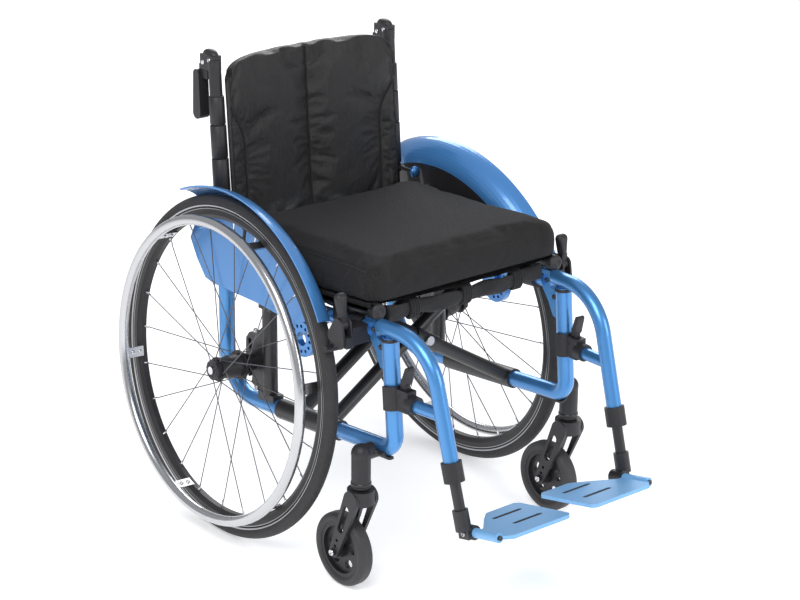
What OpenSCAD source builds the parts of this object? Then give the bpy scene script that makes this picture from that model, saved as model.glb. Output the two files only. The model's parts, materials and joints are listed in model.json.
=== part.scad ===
// Folding manual wheelchair: two tube side frames joined by a scissor brace.
// +X is the chair's left, +Y is the rear, +Z is up. Millimetres.
// Side pieces are drawn for the left side and mirrored for the right.

/* [Frame] */
// Half the distance between the two side frames' tube centres
side_x = 189; // [185:1:200]
// Radius of the side frame's main tube
tube_r = 14; // [13:0.5:15]
// Radius of the frame's upper tube
top_tube_r = 12.7; // [12:0.1:14]
// Distance from the axle back to the rear upright
rear_y = 85; // [75:1:90]
// Distance from the axle forward to the front upright's open top
front_y = 361; // [350:1:380]
// Height of the front upright's open top
front_top_z = 439; // [425:1:445]
// Height of the lower rail's centre at the brace
low_z = 240; // [232:1:245]
// Height of the seat rails' centre at their front end
seat_z = 480; // [475:1:490]
// Slope of the rails, rising to the front, in degrees
rake = 5; // [3:0.5:6]
// Lean of the front upright, in degrees
upright_lean = 4.7; // [3:0.1:6]

/* [Brace] */
// Distance from the axle forward to the rear brace member
brace_back_y = 199; // [190:1:205]
// Distance from the axle forward to the front brace member
brace_front_y = 230; // [225:1:240]
// Distance from the axle forward to the parallel rear tube
brace_third_y = 118; // [110:1:125]
// Radius of the brace tubes
brace_r = 12; // [10:0.5:13]
// Radius of the seat rails
rail_r = 11.5; // [10:0.5:12.5]
// Half the distance between the seat rails
rail_x = 192; // [188:1:196]

/* [Rear wheels] */
// Outer radius of the tyre
wheel_r = 297; // [280:1:300]
// Radius of the tyre's section
tyre_r = 12.5; // [11:0.5:14]
// Half the distance between the wheels at axle height
wheel_x = 250; // [246:1:262]
// Camber of each wheel, in degrees
camber = 4; // [2:0.5:5]
// Radius of the handrim's centre line
handrim_r = 258.5; // [250:0.5:262]
// Radius of the handrim's tube
handrim_tube_r = 9; // [8:0.5:10]
// Distance of the handrim outside the wheel's middle plane
handrim_off = 42; // [38:1:50]
// Number of spokes in one wheel
spoke_count = 24; // [18:2:36]
// Radius of the axle pin
axle_r = 6.35; // [6:0.05:7]

/* [Casters] */
// Outer radius of the caster wheel
caster_r = 63.5; // [55:0.5:66]
// Width of the caster wheel
caster_w = 28; // [24:1:32]
// Distance of the caster's swivel axis outside the side frame
caster_out = 42; // [40:1:50]
// Distance from the axle forward to the caster's swivel axis
caster_y = 340; // [335:1:350]
// Trail of the caster wheel behind its swivel axis
caster_trail = 44; // [35:1:48]

/* [Legrests] */
// Radius of the legrest tube
leg_r = 12.7; // [11.5:0.1:13.5]
// Forward lean of the legrest, in degrees
leg_lean = 16; // [12:1:18]
// Inward turn of each legrest, in degrees
toe_in = 4; // [2:0.5:5]
// Radius of the telescopic foot tube
foot_tube_r = 9; // [8:0.5:9.5]
// Height of the footplate's hinge
footplate_z = 166; // [150:1:185]
// Toe-up tilt of the footplates, in degrees
footplate_tilt = 12; // [5:1:15]
// Width of one footplate, across the chair
plate_w = 138; // [120:1:140]
// Length of one footplate, from heel to toe
plate_l = 132; // [110:1:140]

/* [Back and seat] */
// Radius of the back posts
post_r = 11; // [10:0.5:11.5]
// Backward lean of the back posts, in degrees
back_lean = 4; // [2:0.5:6]
// Height of the top of the back posts
post_top_z = 802; // [780:1:840]
// Height of the bottom edge of the back upholstery
back_low_z = 520; // [510:1:560]
// Thickness of the back upholstery
back_t = 24; // [15:1:28]
// Thickness of the seat cushion at its front
cushion_t = 54; // [40:1:60]
// Half the width of the seat cushion
cushion_hw = 203; // [190:1:205]

/* [Hidden] */
$fn = 48;
gap = 0.3;            // seat between pieces of one body
run = 0.05;           // running clearance on a radius
axle_z = (wheel_r - tyre_r) * cos(camber) + tyre_r;
front_reach = 548 + (plate_l - 62) * cos(footplate_tilt) + 3 * sin(footplate_tilt);
axle_y = (front_reach - wheel_r) / 2;
function low_rail(y) = low_z - (215 + y) * tan(rake);
function top_rail(y) = seat_z - 32 - (327 + y) * tan(rake);
function seat_rail(y) = seat_z - (327 + y) * tan(rake);
rail_dir = [0, -cos(rake), sin(rake)];
foot_z = (low_z - (215 - front_y - front_top_z * tan(upright_lean)) * tan(rake))
         / (1 + tan(upright_lean) * tan(rake));
upright_foot = [-front_y - (front_top_z - foot_z) * tan(upright_lean), foot_z];
carrier_y = -40;
hub_in = -32;         // inner face of the hub, from the wheel's middle plane
hub_out = 32;         // outer face of the hub
rim_in = 257;         // inner radius of the rim
rim_out = 274.5;      // outer radius of the rim's flanges
fork_gap = caster_w / 2 + 3;
leg_top_z = front_top_z + 18;
leg_bend = 90;
leg_reach = 87;       // swing axis to the corner of the legrest's centre line
post_foot_z = 410;    // lower end of the back post inside the rear upright
plate_hinge_x = 165;
pivot_pin_r = 8;

// A straight round bar from a to b
module rod(a, b, r) {
    d = b - a;
    translate(a)
        rotate([0, acos(d[2] / norm(d)), atan2(d[1], d[0])])
            cylinder(r = r, h = norm(d));
}

// Children drawn round Z now stand round X, outward
module along_x() {
    rotate([0, 90, 0]) children();
}

// A flat outline drawn in (y, z), of thickness t, centred on x
module plate_yz(x, t) {
    translate([x - t / 2, 0, 0])
        rotate([90, 0, 90])
            linear_extrude(height = t) children();
}

// A slot of end-to-end length l and width w, along x
module slot2d(l, w) {
    square([l - w, w], center = true);
    for (s = [-1, 1]) translate([s * (l - w) / 2, 0]) circle(d = w);
}

function unit(v) = v / norm(v);
function bend_cut(a, b, c, r) = r * tan(acos(unit(b - a) * unit(c - b)) / 2);

// A round elbow at corner b of the path a, b, c in the (y, z) plane
module elbow(a, b, c, bend, r) {
    u = unit(b - a);
    v = unit(c - b);
    turn = acos(u * v);
    side = sign(u[0] * v[1] - u[1] * v[0]);
    centre = b - u * bend_cut(a, b, c, bend) + side * bend * [-u[1], u[0]];
    start = atan2(-side * u[0], side * u[1]);
    translate([0, centre[0], centre[1]])
        rotate([90, 0, 90])
            rotate([0, 0, side > 0 ? start : start - turn])
                rotate_extrude(angle = turn) translate([bend, 0]) circle(r = r + 0.05);
}

// A tube along the path p in the (y, z) plane, with one bend radius per inner corner
module tube_path(p, bend, r) {
    n = len(p);
    for (i = [0 : n - 2]) {
        d = unit(p[i + 1] - p[i]);
        s = i == 0 ? 0 : bend_cut(p[i - 1], p[i], p[i + 1], bend[i - 1]) - 0.5;
        e = i == n - 2 ? 0 : bend_cut(p[i], p[i + 1], p[i + 2], bend[i]) - 0.5;
        a = p[i] + d * s;
        b = p[i + 1] - d * e;
        rod([0, a[0], a[1]], [0, b[0], b[1]], r);
    }
    for (i = [1 : n - 2]) elbow(p[i - 1], p[i], p[i + 1], bend[i - 1], r);
}

// Puts a piece drawn for the left side on side s, with the axle at axle_y
module side(s) {
    translate([0, axle_y, 0])
        mirror([s < 0 ? 1 : 0, 0, 0]) children();
}

// Puts a piece drawn round X on the cambered wheel axis
module at_wheel() {
    translate([wheel_x, 0, axle_z]) rotate([0, -camber, 0]) children();
}

// ---- side frame -----------------------------------------------------------

module frame() {
    color("steelblue") difference() {
        translate([side_x, 0, 0]) union() {
            tube_path([[-front_y, front_top_z], upright_foot,
                       [rear_y, low_rail(rear_y)], [rear_y, top_rail(rear_y) + 48]], [28, 75], tube_r);
            rod([0, rear_y, top_rail(rear_y)], [0, -front_y + 42, top_rail(-front_y + 42)], top_tube_r);
            plate_yz(0, 12) polygon([
                [-front_y + 56, top_rail(-front_y) - 4], [-front_y + 56, top_rail(-front_y) + 14],
                [-front_y + 28, top_rail(-front_y) + 16], [-front_y + 28, front_top_z],
                [-front_y + 10, front_top_z - 8], [-front_y + 6, front_top_z - 52],
                [-front_y + 18, front_top_z - 50], [-front_y + 30, front_top_z - 26]]);
        }
        front_socket(pivot_pin_r + run, 62);
        back_axis(post_foot_z - gap) cylinder(r = post_r + run, h = 200);
    }
}

// The bore down the front upright that takes the legrest's pivot pin
module front_socket(r, depth) {
    translate([side_x, -front_y, front_top_z])
        rotate([-upright_lean, 0, 0])
            translate([0, 0, -depth]) cylinder(r = r, h = depth + 20);
}

// Children drawn up Z from the back post's foot at height z, inside the rear upright then leaning back
module back_axis(z) {
    translate([side_x, rear_y, z]) children();
}

module axle_carrier() {
    top = top_rail(carrier_y) - top_tube_r - gap;
    foot = low_rail(carrier_y) + tube_r + gap;
    color("dimgray") difference() {
        union() {
            rod([side_x, carrier_y, foot + 4], [side_x, carrier_y, top - 4], 13);
            translate([side_x, carrier_y, top - 3]) cube([22, 34, 14], center = true);
            translate([side_x, carrier_y, foot + 1]) cube([22, 44, 16], center = true);
            plate_yz(side_x, 18) polygon([
                [carrier_y, 376], [carrier_y + 16, 360], [carrier_y + 30, 351], [carrier_y + 48, 346],
                [carrier_y + 57, 334], [carrier_y + 59, 297], [carrier_y + 55, 268],
                [carrier_y + 42, 254], [carrier_y + 20, 246], [carrier_y, 246]]);
            at_wheel() along_x() translate([0, 0, -82]) cylinder(r = 14, h = 82 + hub_in - gap - 1.5);
        }
        at_wheel() along_x() translate([0, 0, -90]) cylinder(r = axle_r + run, h = 90);
        rod([side_x, rear_y, low_rail(rear_y)], [side_x, -front_y, low_rail(-front_y)], tube_r + gap);
        rod([side_x, rear_y, top_rail(rear_y)], [side_x, -front_y, top_rail(-front_y)], top_tube_r + gap);
        plate_yz(side_x, 30) {
            translate([5, axle_z + 28]) rotate(80) slot2d(24, 9);
            translate([5, axle_z - 28]) rotate(100) slot2d(24, 9);
        }
    }
    color("silver") at_wheel() along_x()
        translate([0, 0, hub_in - gap - 6]) difference() {
            cylinder(r = 19, h = 4);
            translate([0, 0, -1]) cylinder(r = 14 + run, h = 6);
        }
}

module caster_housing() {
    x = side_x + caster_out;
    arm_z = low_rail(-caster_y) - 2;
    color("dimgray") difference() {
        union() {
            translate([x, -caster_y, 190]) cylinder(r = 16, h = arm_z - 190);
            translate([x, -caster_y, arm_z]) sphere(r = 16.4);
            rod([side_x + 10, -caster_y, arm_z], [x, -caster_y, arm_z], 14);
            rod([side_x, 0, low_rail(0)] - rail_dir * -315, [side_x, 0, low_rail(0)] - rail_dir * -367, tube_r + 4);
        }
        rod([side_x, 0, low_rail(0)] - rail_dir * -250, [side_x, 0, low_rail(0)] - rail_dir * -420, tube_r + run);
        translate([side_x - 60, -caster_y - 60, low_rail(-caster_y) + 4]) rotate([-rake, 0, 0]) cube([80, 140, 40]);
        translate([side_x - 60, -caster_y - 60, low_rail(-caster_y) - 40]) cube([56, 120, 80]);
        translate([x, -caster_y, 180]) cylinder(r = 7 + run, h = 52);
    }
}

// The leaning upper part of the back post, and its straight foot in the rear upright
module back_post() {
    knee = top_rail(rear_y) + 62;
    top = [side_x, rear_y + (post_top_z - knee) * tan(back_lean), post_top_z];
    color("dimgray") {
        difference() {
            union() {
                translate([side_x, 0, 0]) tube_path([[rear_y, post_foot_z], [rear_y, knee], [top[1], post_top_z]], [150], post_r);
                translate([side_x - 9, top[1] - 8, post_top_z - 18]) cube([18, 37, 26]);
            }
            translate([side_x - 4.3, handle_y() - 13.4, post_top_z - 40]) cube([8.6, 60, 60]);
        }
        difference() {
            translate([side_x, rear_y + 5, 549]) rotate([-back_lean, 0, 0]) translate([0, 0, -8])
                cylinder(r = post_r + 3, h = 16);
            rod([side_x, rear_y, knee], top, post_r + run);
            translate([side_x - 30, rear_y - post_r - 30, 500]) cube([60, 40.5, 100]);
        }
    }
    color("silver") translate([side_x, handle_y(), handle_z()]) along_x() cylinder(r = 3, h = 21, center = true);
    color("silver") rod([side_x + 4, rear_y + 2, 552], [side_x + 7, 42, 552], 3.5);
    color("steelblue") rod([side_x + 7, 42 - gap, 552], [side_x + 8, 36, 552], 9);
}
function handle_y() = rear_y + 44;
function handle_z() = post_top_z - 6;

// Fender over the wheel and the panel inside it, both in the wheel's cambered frame
guard_off = -19;
guard_edge_r = 276;
function fender_pt(t, d) = [
    guard_edge_r - 2 + 37 * sin(90 * t) + d * sin(90 * t),
    guard_off + 41 * (1 - cos(90 * t)) - d * cos(90 * t)
];
module side_guard() {
    steps = 10;
    color("cornflowerblue") at_wheel() rotate([90, 0, 90]) {
        rotate([0, 0, 66]) rotate_extrude(angle = 83)
            polygon(concat(
                [for (i = [0 : steps]) fender_pt(i / steps, 0)],
                [for (i = [steps : -1 : 0]) fender_pt(i / steps, 3)]));
        translate([0, 0, guard_off - 2.8]) linear_extrude(height = 2.6) difference() {
            intersection() {
                circle(r = guard_edge_r, $fn = 180);
                polygon([[118, 262], [150, 190], [128, 158], [101, 130], [77, 126], [-53, 126], [-150, 120],
                         [-232, 148], [-262, 136], [-300, 160], [-300, 300], [100, 300]]);
            }
            circle(r = 100);
        }
    }
    color("cornflowerblue") difference() {
        union() {
            rod([side_x + 4, rear_y, 440], [219, rear_y, 440], 8);
            rod([side_x + 4, -228, top_rail(-228) + 8], [219, -228, top_rail(-228) + 8], 6);
        }
        translate([side_x, rear_y, 400]) cylinder(r = tube_r + gap, h = 80);
        rod([side_x, rear_y - 30, top_rail(rear_y - 30)], [side_x, -front_y, top_rail(-front_y)], top_tube_r + gap);
    }
}

module guard_disc() {
    disc_y = -168;
    color("cornflowerblue") difference() {
        translate([side_x + 18, disc_y, 391]) along_x() cylinder(r = 31, h = 12.1);
        translate([side_x + 14, disc_y, 391]) along_x() cylinder(r = 12, h = 30);
        for (a = [0 : 30 : 330])
            translate([side_x + 14, disc_y + 22 * cos(a), 391 + 22 * sin(a)]) along_x() cylinder(r = 3, h = 30);
        rod([side_x, rear_y, top_rail(rear_y)], [side_x, -front_y, top_rail(-front_y)], top_tube_r + 4);
    }
    color("dimgray") difference() {
        union() {
            rod([side_x, disc_y + 9, top_rail(disc_y + 9)], [side_x, disc_y - 9, top_rail(disc_y - 9)], top_tube_r + 4 - gap);
            translate([side_x + 10, disc_y - 9, 402]) cube([8 - gap, 18, 30]);
        }
        rod([side_x, rear_y, top_rail(rear_y)], [side_x, -front_y, top_rail(-front_y)], top_tube_r + run);
        translate([side_x - 37, disc_y - 30, 380]) cube([40, 60, 90]);
    }
}

// Cradles for the seat rail, each clasping the top of the frame's upper tube
module saddles() {
    color("dimgray") for (y = [-250, -140, 4]) difference() {
        translate([side_x - 13, y - 13, top_rail(y) + 2]) cube([31, 26, 27.8]);
        rod([side_x, rear_y, top_rail(rear_y)], [side_x, -front_y, top_rail(-front_y)], top_tube_r + run);
        rod([rail_x, rear_y, seat_rail(rear_y)], [rail_x, -front_y, seat_rail(-front_y)], rail_r + gap);
    }
}

// ---- wheel lock -----------------------------------------------------------

lock_x = 240;                 // middle of the lock, outside the frame
lever_pivot = [-303, 460];    // (y, z) of the lever's pivot
shoe_pivot = [-288, 440];     // (y, z) of the shoe arm's pivot
shoe_r = 6;
shoe_angle = 23;              // height of the shoe on the tyre, in degrees
shoe_reach = wheel_r + 3 + shoe_r;

module lock_cheek(grow) {
    hull() {
        translate(lever_pivot) circle(r = 12 + grow);
        translate(shoe_pivot) circle(r = 10 + grow);
        translate([-308, 434]) circle(r = 11 + grow);
    }
}

module brake_body() {
    color("dimgray") {
        for (s = [-1, 1]) plate_yz(lock_x + s * 8.2, 4) lock_cheek(0);
        plate_yz(lock_x, 12.5) translate([-322, 425]) square([13, 18]);
        difference() {
            union() {
                translate([side_x + 8, -318, 426]) cube([lock_x - 10.3 - side_x - 8, 30, 30]);
                rod([side_x, -300, top_rail(-300)], [side_x, -272, top_rail(-272)], top_tube_r + 5);
            }
            rod([side_x, rear_y, top_rail(rear_y)], [side_x, -front_y, top_rail(-front_y)], top_tube_r + run);
            plate_yz(side_x, 13) translate([-340, 380]) square([39, 100]);
            translate([side_x - 20, -310, 466]) cube([60, 50, 30]);
        }
        for (p = [lever_pivot, shoe_pivot])
            translate([lock_x, p[0], p[1]]) along_x() cylinder(r = 3, h = 20, center = true);
    }
}

module brake_lever() {
    color("dimgray") {
        difference() {
            plate_yz(lock_x, 11.6) union() {
                translate(lever_pivot) circle(r = 9);
                translate([lever_pivot[0] - 6, lever_pivot[1]]) square([12, 20]);
            }
            translate([lock_x, lever_pivot[0], lever_pivot[1]]) along_x()
                cylinder(r = 3 + run, h = 30, center = true);
        }
        hull() {
            translate([lock_x, lever_pivot[0] - 1, lever_pivot[1] + 17]) rotate([90, 0, 0])
                cylinder(r = 3, h = 12, center = true, $fn = 32);
            translate([lock_x, lever_pivot[0] + 2, lever_pivot[1] + 22]) sphere(r = 8, $fn = 32);
            translate([lock_x - 3, lever_pivot[0] + 4, lever_pivot[1] + 44]) sphere(r = 8.5, $fn = 32);
            translate([lock_x + 3, lever_pivot[0] + 4, lever_pivot[1] + 44]) sphere(r = 8.5, $fn = 32);
        }
    }
}

module brake_shoe() {
    shoe = [-shoe_reach * cos(shoe_angle), axle_z + shoe_reach * sin(shoe_angle) * cos(camber)];
    color("dimgray") {
        difference() {
            plate_yz(lock_x, 11.6) hull() {
                translate(shoe_pivot) circle(r = 8, $fn = 32);
                translate(shoe) circle(r = shoe_r - 1.5, $fn = 32);
            }
            translate([lock_x, shoe_pivot[0], shoe_pivot[1]]) along_x()
                cylinder(r = 3 + run, h = 30, center = true);
        }
        at_wheel() translate([0, -shoe_reach * cos(shoe_angle), shoe_reach * sin(shoe_angle)]) along_x()
            cylinder(r = shoe_r, h = 34, center = true);
    }
}

// ---- rear wheel, drawn round X in the wheel's own frame ---------------------

module revolve_x() {
    rotate([0, 90, 0]) rotate_extrude($fn = 144) children();
}

module tyre() {
    color("darkslategray") at_wheel() revolve_x() intersection() {
        union() {
            translate([wheel_r - tyre_r, 0]) circle(r = tyre_r);
            translate([rim_out - 5.3, -8.3]) square([8, 16.6]);
        }
        translate([rim_out - 5.3, -20]) square([60, 40]);
    }
}

module rim() {
    color("black") at_wheel() revolve_x() difference() {
        polygon([[rim_in, -5], [rim_in, 5], [rim_in + 7, 10.3], [rim_out, 10.3], [rim_out, -10.3], [rim_in + 7, -10.3]]);
        translate([rim_out - 5.5, -8.5]) square([20, 17]);
    }
}

module hub() {
    color("dimgray") at_wheel() along_x() difference() {
        union() {
            cylinder(r1 = 20, r2 = 14, h = hub_out - 4);
            translate([0, 0, -22]) cylinder(r = 20, h = 22);
            translate([0, 0, hub_in]) cylinder(r1 = 15, r2 = 20, h = 10);
            translate([0, 0, -26]) cylinder(r = 26, h = 3);
            translate([0, 0, 19]) cylinder(r = 21, h = 3);
            translate([0, 0, hub_out - 5]) cylinder(r = 17, h = 5);
        }
        translate([0, 0, hub_in - 1]) cylinder(r = axle_r + run, h = 56);
        translate([0, 0, hub_out - 9]) cylinder(r = 7.2, h = 20);
    }
    color("silver") at_wheel() along_x() translate([0, 0, -84]) cylinder(r = axle_r, h = 84 + hub_out - 10);
}

module axle_button() {
    color("silver") at_wheel() along_x() translate([0, 0, hub_out - 5]) cylinder(r = 6.8, h = 9);
}

module spokes() {
    hub_r = 24.5;
    color("silver") at_wheel() for (i = [0 : spoke_count - 1]) {
        a = i * 360 / spoke_count;
        inner = i % 2 == 0;
        lead = floor(i / 2) % 2 == 0 ? 1 : -1;
        flange = inner ? -24.5 : 20.5;
        r0 = inner ? hub_r : hub_r - 5;
        b = a + lead * 48;
        p = [flange + lead * 2.6, r0 * cos(b), r0 * sin(b)];
        q = [inner ? -1.5 : 1.5, (rim_in - 0.4) * cos(a), (rim_in - 0.4) * sin(a)];
        rod(p, q, 0.9);
    }
}

module handrim() {
    color("gainsboro") at_wheel() {
        translate([handrim_off, 0, 0]) revolve_x() translate([handrim_r, 0]) circle(r = handrim_tube_r);
        for (a = [20 : 60 : 320]) rotate([a, 0, 0])
            translate([4, -9, rim_in - 3.6]) cube([handrim_off - 6, 18, 3.2]);
    }
}

// ---- caster -----------------------------------------------------------------

caster_x = side_x + caster_out;
blade_dir = unit([caster_trail, caster_r - 178]);

module fork() {
    foot = [-caster_y + caster_trail, caster_r];
    color("dimgray") {
        difference() {
            union() {
                for (s = [-1, 1]) plate_yz(caster_x + s * (fork_gap + 3), 6) hull() {
                    translate([-caster_y, 170]) circle(r = 17, $fn = 32);
                    translate(foot) circle(r = 10.5, $fn = 32);
                }
                translate([caster_x, -caster_y, 161]) cylinder(r = fork_gap + 5.9, h = 26);
                translate([caster_x, -caster_y, 180]) cylinder(r = 7, h = 50);
            }
            plate_yz(caster_x, 2 * fork_gap) translate([-caster_y - 40, 100]) square([80, 62]);
            plate_yz(caster_x, 80) translate(foot - blade_dir * 72)
                rotate(atan2(blade_dir[1], blade_dir[0])) slot2d(56, 13);
            for (k = [0 : 2]) translate([caster_x, foot[0], foot[1]] - [0, blade_dir[0], blade_dir[1]] * 13 * k)
                along_x() cylinder(r = k == 0 ? 4 + run : 3, h = 80, center = true);
        }
    }
    color("silver") translate([caster_x, foot[0], foot[1]]) along_x() {
        cylinder(r = 4, h = 2 * fork_gap + 13, center = true);
        for (s = [-1, 1]) translate([0, 0, s * (fork_gap + 8.3)]) cylinder(r = 6, h = 4, center = true);
    }
}

module caster_tyre() {
    shoulder = 9;
    color("black") translate([caster_x, -caster_y + caster_trail, caster_r]) revolve_x()
        polygon(concat(
            [[48, -caster_w / 2 + 3], [52, -caster_w / 2]],
            [for (a = [0 : 15 : 90]) [caster_r - shoulder + shoulder * sin(a), -caster_w / 2 + shoulder - shoulder * cos(a)]],
            [for (a = [90 : -15 : 0]) [caster_r - shoulder + shoulder * sin(a), caster_w / 2 - shoulder + shoulder * cos(a)]],
            [[52, caster_w / 2], [48, caster_w / 2 - 3]]));
}

module caster_hub() {
    color("dimgray") translate([caster_x, -caster_y + caster_trail, caster_r]) difference() {
        along_x() union() {
            difference() {
                cylinder(r = 48 - run, h = caster_w - 7, center = true);
                cylinder(r = 41, h = caster_w, center = true);
            }
            cylinder(r = 45, h = 8, center = true);
            cylinder(r = 13, h = 2 * fork_gap - 1, center = true);
        }
        along_x() cylinder(r = 4 + run, h = 60, center = true);
        for (a = [0 : 72 : 288]) rotate([a, 0, 0]) plate_yz(0, 30) translate([0, 28]) slot2d(20, 13);
    }
}

// ---- legrest ------------------------------------------------------------------

leg_end_z = 262;
leg_corner = [-leg_reach, leg_top_z];
leg_end = [-leg_reach - (leg_top_z - leg_end_z) * tan(leg_lean), leg_end_z];
hinge_y = -548;
hinge_z = footplate_z;
plate_heel = 62;
plate_toe = plate_l - plate_heel;

// The legrest's own plane: y from the swing axis, turned in by toe_in
module at_leg() {
    translate([side_x, -front_y, 0]) rotate([0, 0, -toe_in]) children();
}

// Children drawn up Z from the lower end of the legrest tube, along the tube
module at_leg_end() {
    at_leg() translate([0, leg_end[0], leg_end[1]]) rotate([-leg_lean, 0, 0]) children();
}

// Children drawn up Z along the front upright from its open top
module at_upright() {
    translate([side_x, -front_y, front_top_z]) rotate([-upright_lean, 0, 0]) children();
}

module legrest() {
    stub_z = 346;
    stub_y = leg_corner[0] - (leg_top_z - stub_z) * tan(leg_lean);
    color("cornflowerblue") {
        difference() {
            union() {
                at_leg() tube_path([[22, leg_top_z], leg_corner, leg_end], [leg_bend], leg_r);
                at_leg() rod([0, stub_y, stub_z], [0, -46, stub_z - 2], 10.5);
                at_upright() translate([0, 0, -55]) cylinder(r = pivot_pin_r, h = 70);
                at_upright() translate([0, 0, 0.6]) cylinder(r = tube_r - 0.5, h = 5);
            }
            at_leg_end() translate([0, 0, -5]) cylinder(r = foot_tube_r + run, h = 135);
        }
    }
}

module latch_body() {
    color("dimgray") difference() {
        union() {
            at_upright() translate([0, 0, -112]) cylinder(r = tube_r + 6, h = 40);
            at_leg() translate([-10, -50, 330]) cube([20, 42, 36]);
            at_leg() rod([0, -62, 345], [0, -45, 345.5], 15);
        }
        at_upright() translate([0, 0, -130]) cylinder(r = tube_r + 0.4, h = 90);
        at_upright() translate([-40, 2, -130]) cube([80, 40, 90]);
        at_leg() rod([0, -140, 344], [0, -45, 344], 10.8);
        at_leg() translate([-5.3, -45.5, 347]) cube([10.6, 24, 30]);
        at_leg() translate([0, -33, 356]) along_x() cylinder(r = 3 + run, h = 60, center = true);
    }
    color("silver") at_leg() translate([0, -33, 356]) along_x() cylinder(r = 3, h = 19, center = true);
}

module latch_lever() {
    color("dimgray") at_leg() difference() {
        union() {
            plate_yz(0, 10) union() {
                translate([-33, 356]) circle(r = 8);
                translate([-41, 356]) square([12, 26]);
            }
            plate_yz(0, 14) hull() {
                translate([-37, 378]) circle(r = 5.5, $fn = 32);
                translate([-44, 402]) circle(r = 4, $fn = 32);
            }
        }
        translate([0, -33, 356]) along_x() cylinder(r = 3 + 2 * run, h = 60, center = true);
    }
}

module leg_collar() {
    color("dimgray") {
        at_leg_end() difference() {
            translate([0, 0, -18.5]) cylinder(r = 17, h = 32.5);
            translate([0, 0, -30]) cylinder(r = foot_tube_r + run, h = 60);
            translate([0, 0, -gap]) cylinder(r = leg_r + gap, h = 40);
        }
    }
}

// The knuckle's place in the world, and the footplate's tilted frame
module at_plate() {
    translate([plate_hinge_x, hinge_y, hinge_z]) rotate([-footplate_tilt, 0, 0]) children();
}

module foot_tube() {
    color("dimgray") {
        at_leg_end() translate([0, 0, -86]) cylinder(r = foot_tube_r, h = 181);
        at_leg_end() translate([0, 0, -98]) cylinder(r = foot_tube_r + 4, h = 34);
        at_plate() translate([0, 30, 0]) rotate([90, 0, 0]) cylinder(r = 12, h = 26);
        at_plate() translate([0, 6, 0]) rotate([90, 0, 0]) cylinder(r = 4, h = 62);
        at_plate() translate([0, 5, -9]) cube([14, 24, 18]);
    }
}

module footplate() {
    color("lightblue") at_plate() difference() {
        union() {
            translate([0, 0, -3]) linear_extrude(height = 6) polygon([
                [-3, -plate_toe + 14], [-16, -plate_toe], [-plate_w + 4, -plate_toe], [-plate_w - 3, -plate_toe + 7],
                [-plate_w - 3, plate_heel - 7], [-plate_w + 4, plate_heel], [-74, plate_heel],
                [-48, 38], [-16, 3], [-3, 3]]);
            translate([0, 3, 0]) rotate([90, 0, 0]) cylinder(r = 8, h = 56);
        }
        translate([0, 10, 0]) rotate([90, 0, 0]) cylinder(r = 4 + run, h = 70);
        for (y = [27, -22]) translate([-88, y, -10]) linear_extrude(height = 20) slot2d(62, 9);
    }
}

// ---- push handle ---------------------------------------------------------------

module push_handle() {
    color("dimgray") difference() {
        union() {
            translate([side_x, handle_y(), handle_z()]) along_x() cylinder(r = 13, h = 8, center = true);
            translate([side_x - 4, handle_y() - 6, handle_z() - 30]) cube([8, 24, 24]);
            hull() {
                translate([side_x, handle_y() + 20, handle_z() - 24]) along_x() cylinder(r = 8, h = 20, center = true, $fn = 32);
                translate([side_x, handle_y() + 20, handle_z() - 92]) along_x() cylinder(r = 11, h = 20, center = true, $fn = 32);
            }
        }
        translate([side_x, handle_y(), handle_z()]) along_x() cylinder(r = 3 + run, h = 40, center = true);
    }
}

// ---- scissor brace and seat rails -------------------------------------------------

rise = (seat_rail(0) - low_rail(0)) * cos(rake);
rise_dir = [0, sin(rake), cos(rake)];
function brace_foot(s, y) = [s * side_x, -y, low_rail(-y)];
function brace_head(s, y) = [s * rail_x, -y, low_rail(-y)] + rise_dir * rise;
function brace_mid(y) = brace_foot(-1, y) + (brace_head(1, y) - brace_foot(-1, y)) * side_x / (side_x + rail_x);

// One member from the lower rail on side -s to the seat rail on side s, with its bores
module brace_tube(s, y) {
    difference() {
        rod(brace_foot(-s, y), brace_head(s, y), brace_r);
        rod([-s * side_x, rear_y, low_rail(rear_y)], [-s * side_x, -front_y, low_rail(-front_y)], tube_r + 2);
        rod([s * rail_x, rear_y, seat_rail(rear_y)], [s * rail_x, -front_y, seat_rail(-front_y)], rail_r + gap);
        rod(brace_mid(y) - rail_dir * 40, brace_mid(y) + rail_dir * 40, 4 + run);
    }
}

module brace_sleeve(s, front) {
    difference() {
        rod([s * side_x, -74, low_rail(-74)], [s * side_x, -front, low_rail(-front)], tube_r + 3.5);
        rod([s * side_x, rear_y, low_rail(rear_y)], [s * side_x, -front_y, low_rail(-front_y)], tube_r + run);
    }
}

module brace_rear() {
    translate([0, axle_y, 0]) color("black") {
        brace_sleeve(-1, 234);
        brace_tube(1, brace_back_y);
        brace_tube(1, brace_third_y);
    }
}

module brace_front() {
    mid = brace_mid(brace_front_y);
    along = unit(brace_head(-1, brace_front_y) - brace_foot(1, brace_front_y));
    translate([0, axle_y, 0]) color("black") {
        brace_sleeve(1, 246);
        brace_tube(-1, brace_front_y);
        difference() {
            rod(mid - along * 30, mid + along * 26, brace_r + 2.5);
            rod(mid - along * 40, mid + along * 40, brace_r - 1);
            rod(mid - rail_dir * 40, mid + rail_dir * 40, 4 + run);
        }
    }
}

module brace_bolt() {
    back = brace_mid(brace_back_y);
    front = brace_mid(brace_front_y);
    translate([0, axle_y, 0]) color("silver") {
        rod(back - rail_dir * (brace_r + 6), front + rail_dir * (brace_r + 8), 4);
        rod(back - rail_dir * (brace_r + 6), back - rail_dir * (brace_r + 0.5), 8);
        rod(front + rail_dir * (brace_r + 3), front + rail_dir * (brace_r + 8), 8);
        rod(back + rail_dir * (brace_r + 0.5), front - rail_dir * (brace_r + 3), 11);
    }
}

module seat_rail_bar() {
    color("black") rod([rail_x, 22, seat_rail(22)], [rail_x, -334, seat_rail(-334)], rail_r);
}

// ---- seat and back ------------------------------------------------------------------

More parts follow.
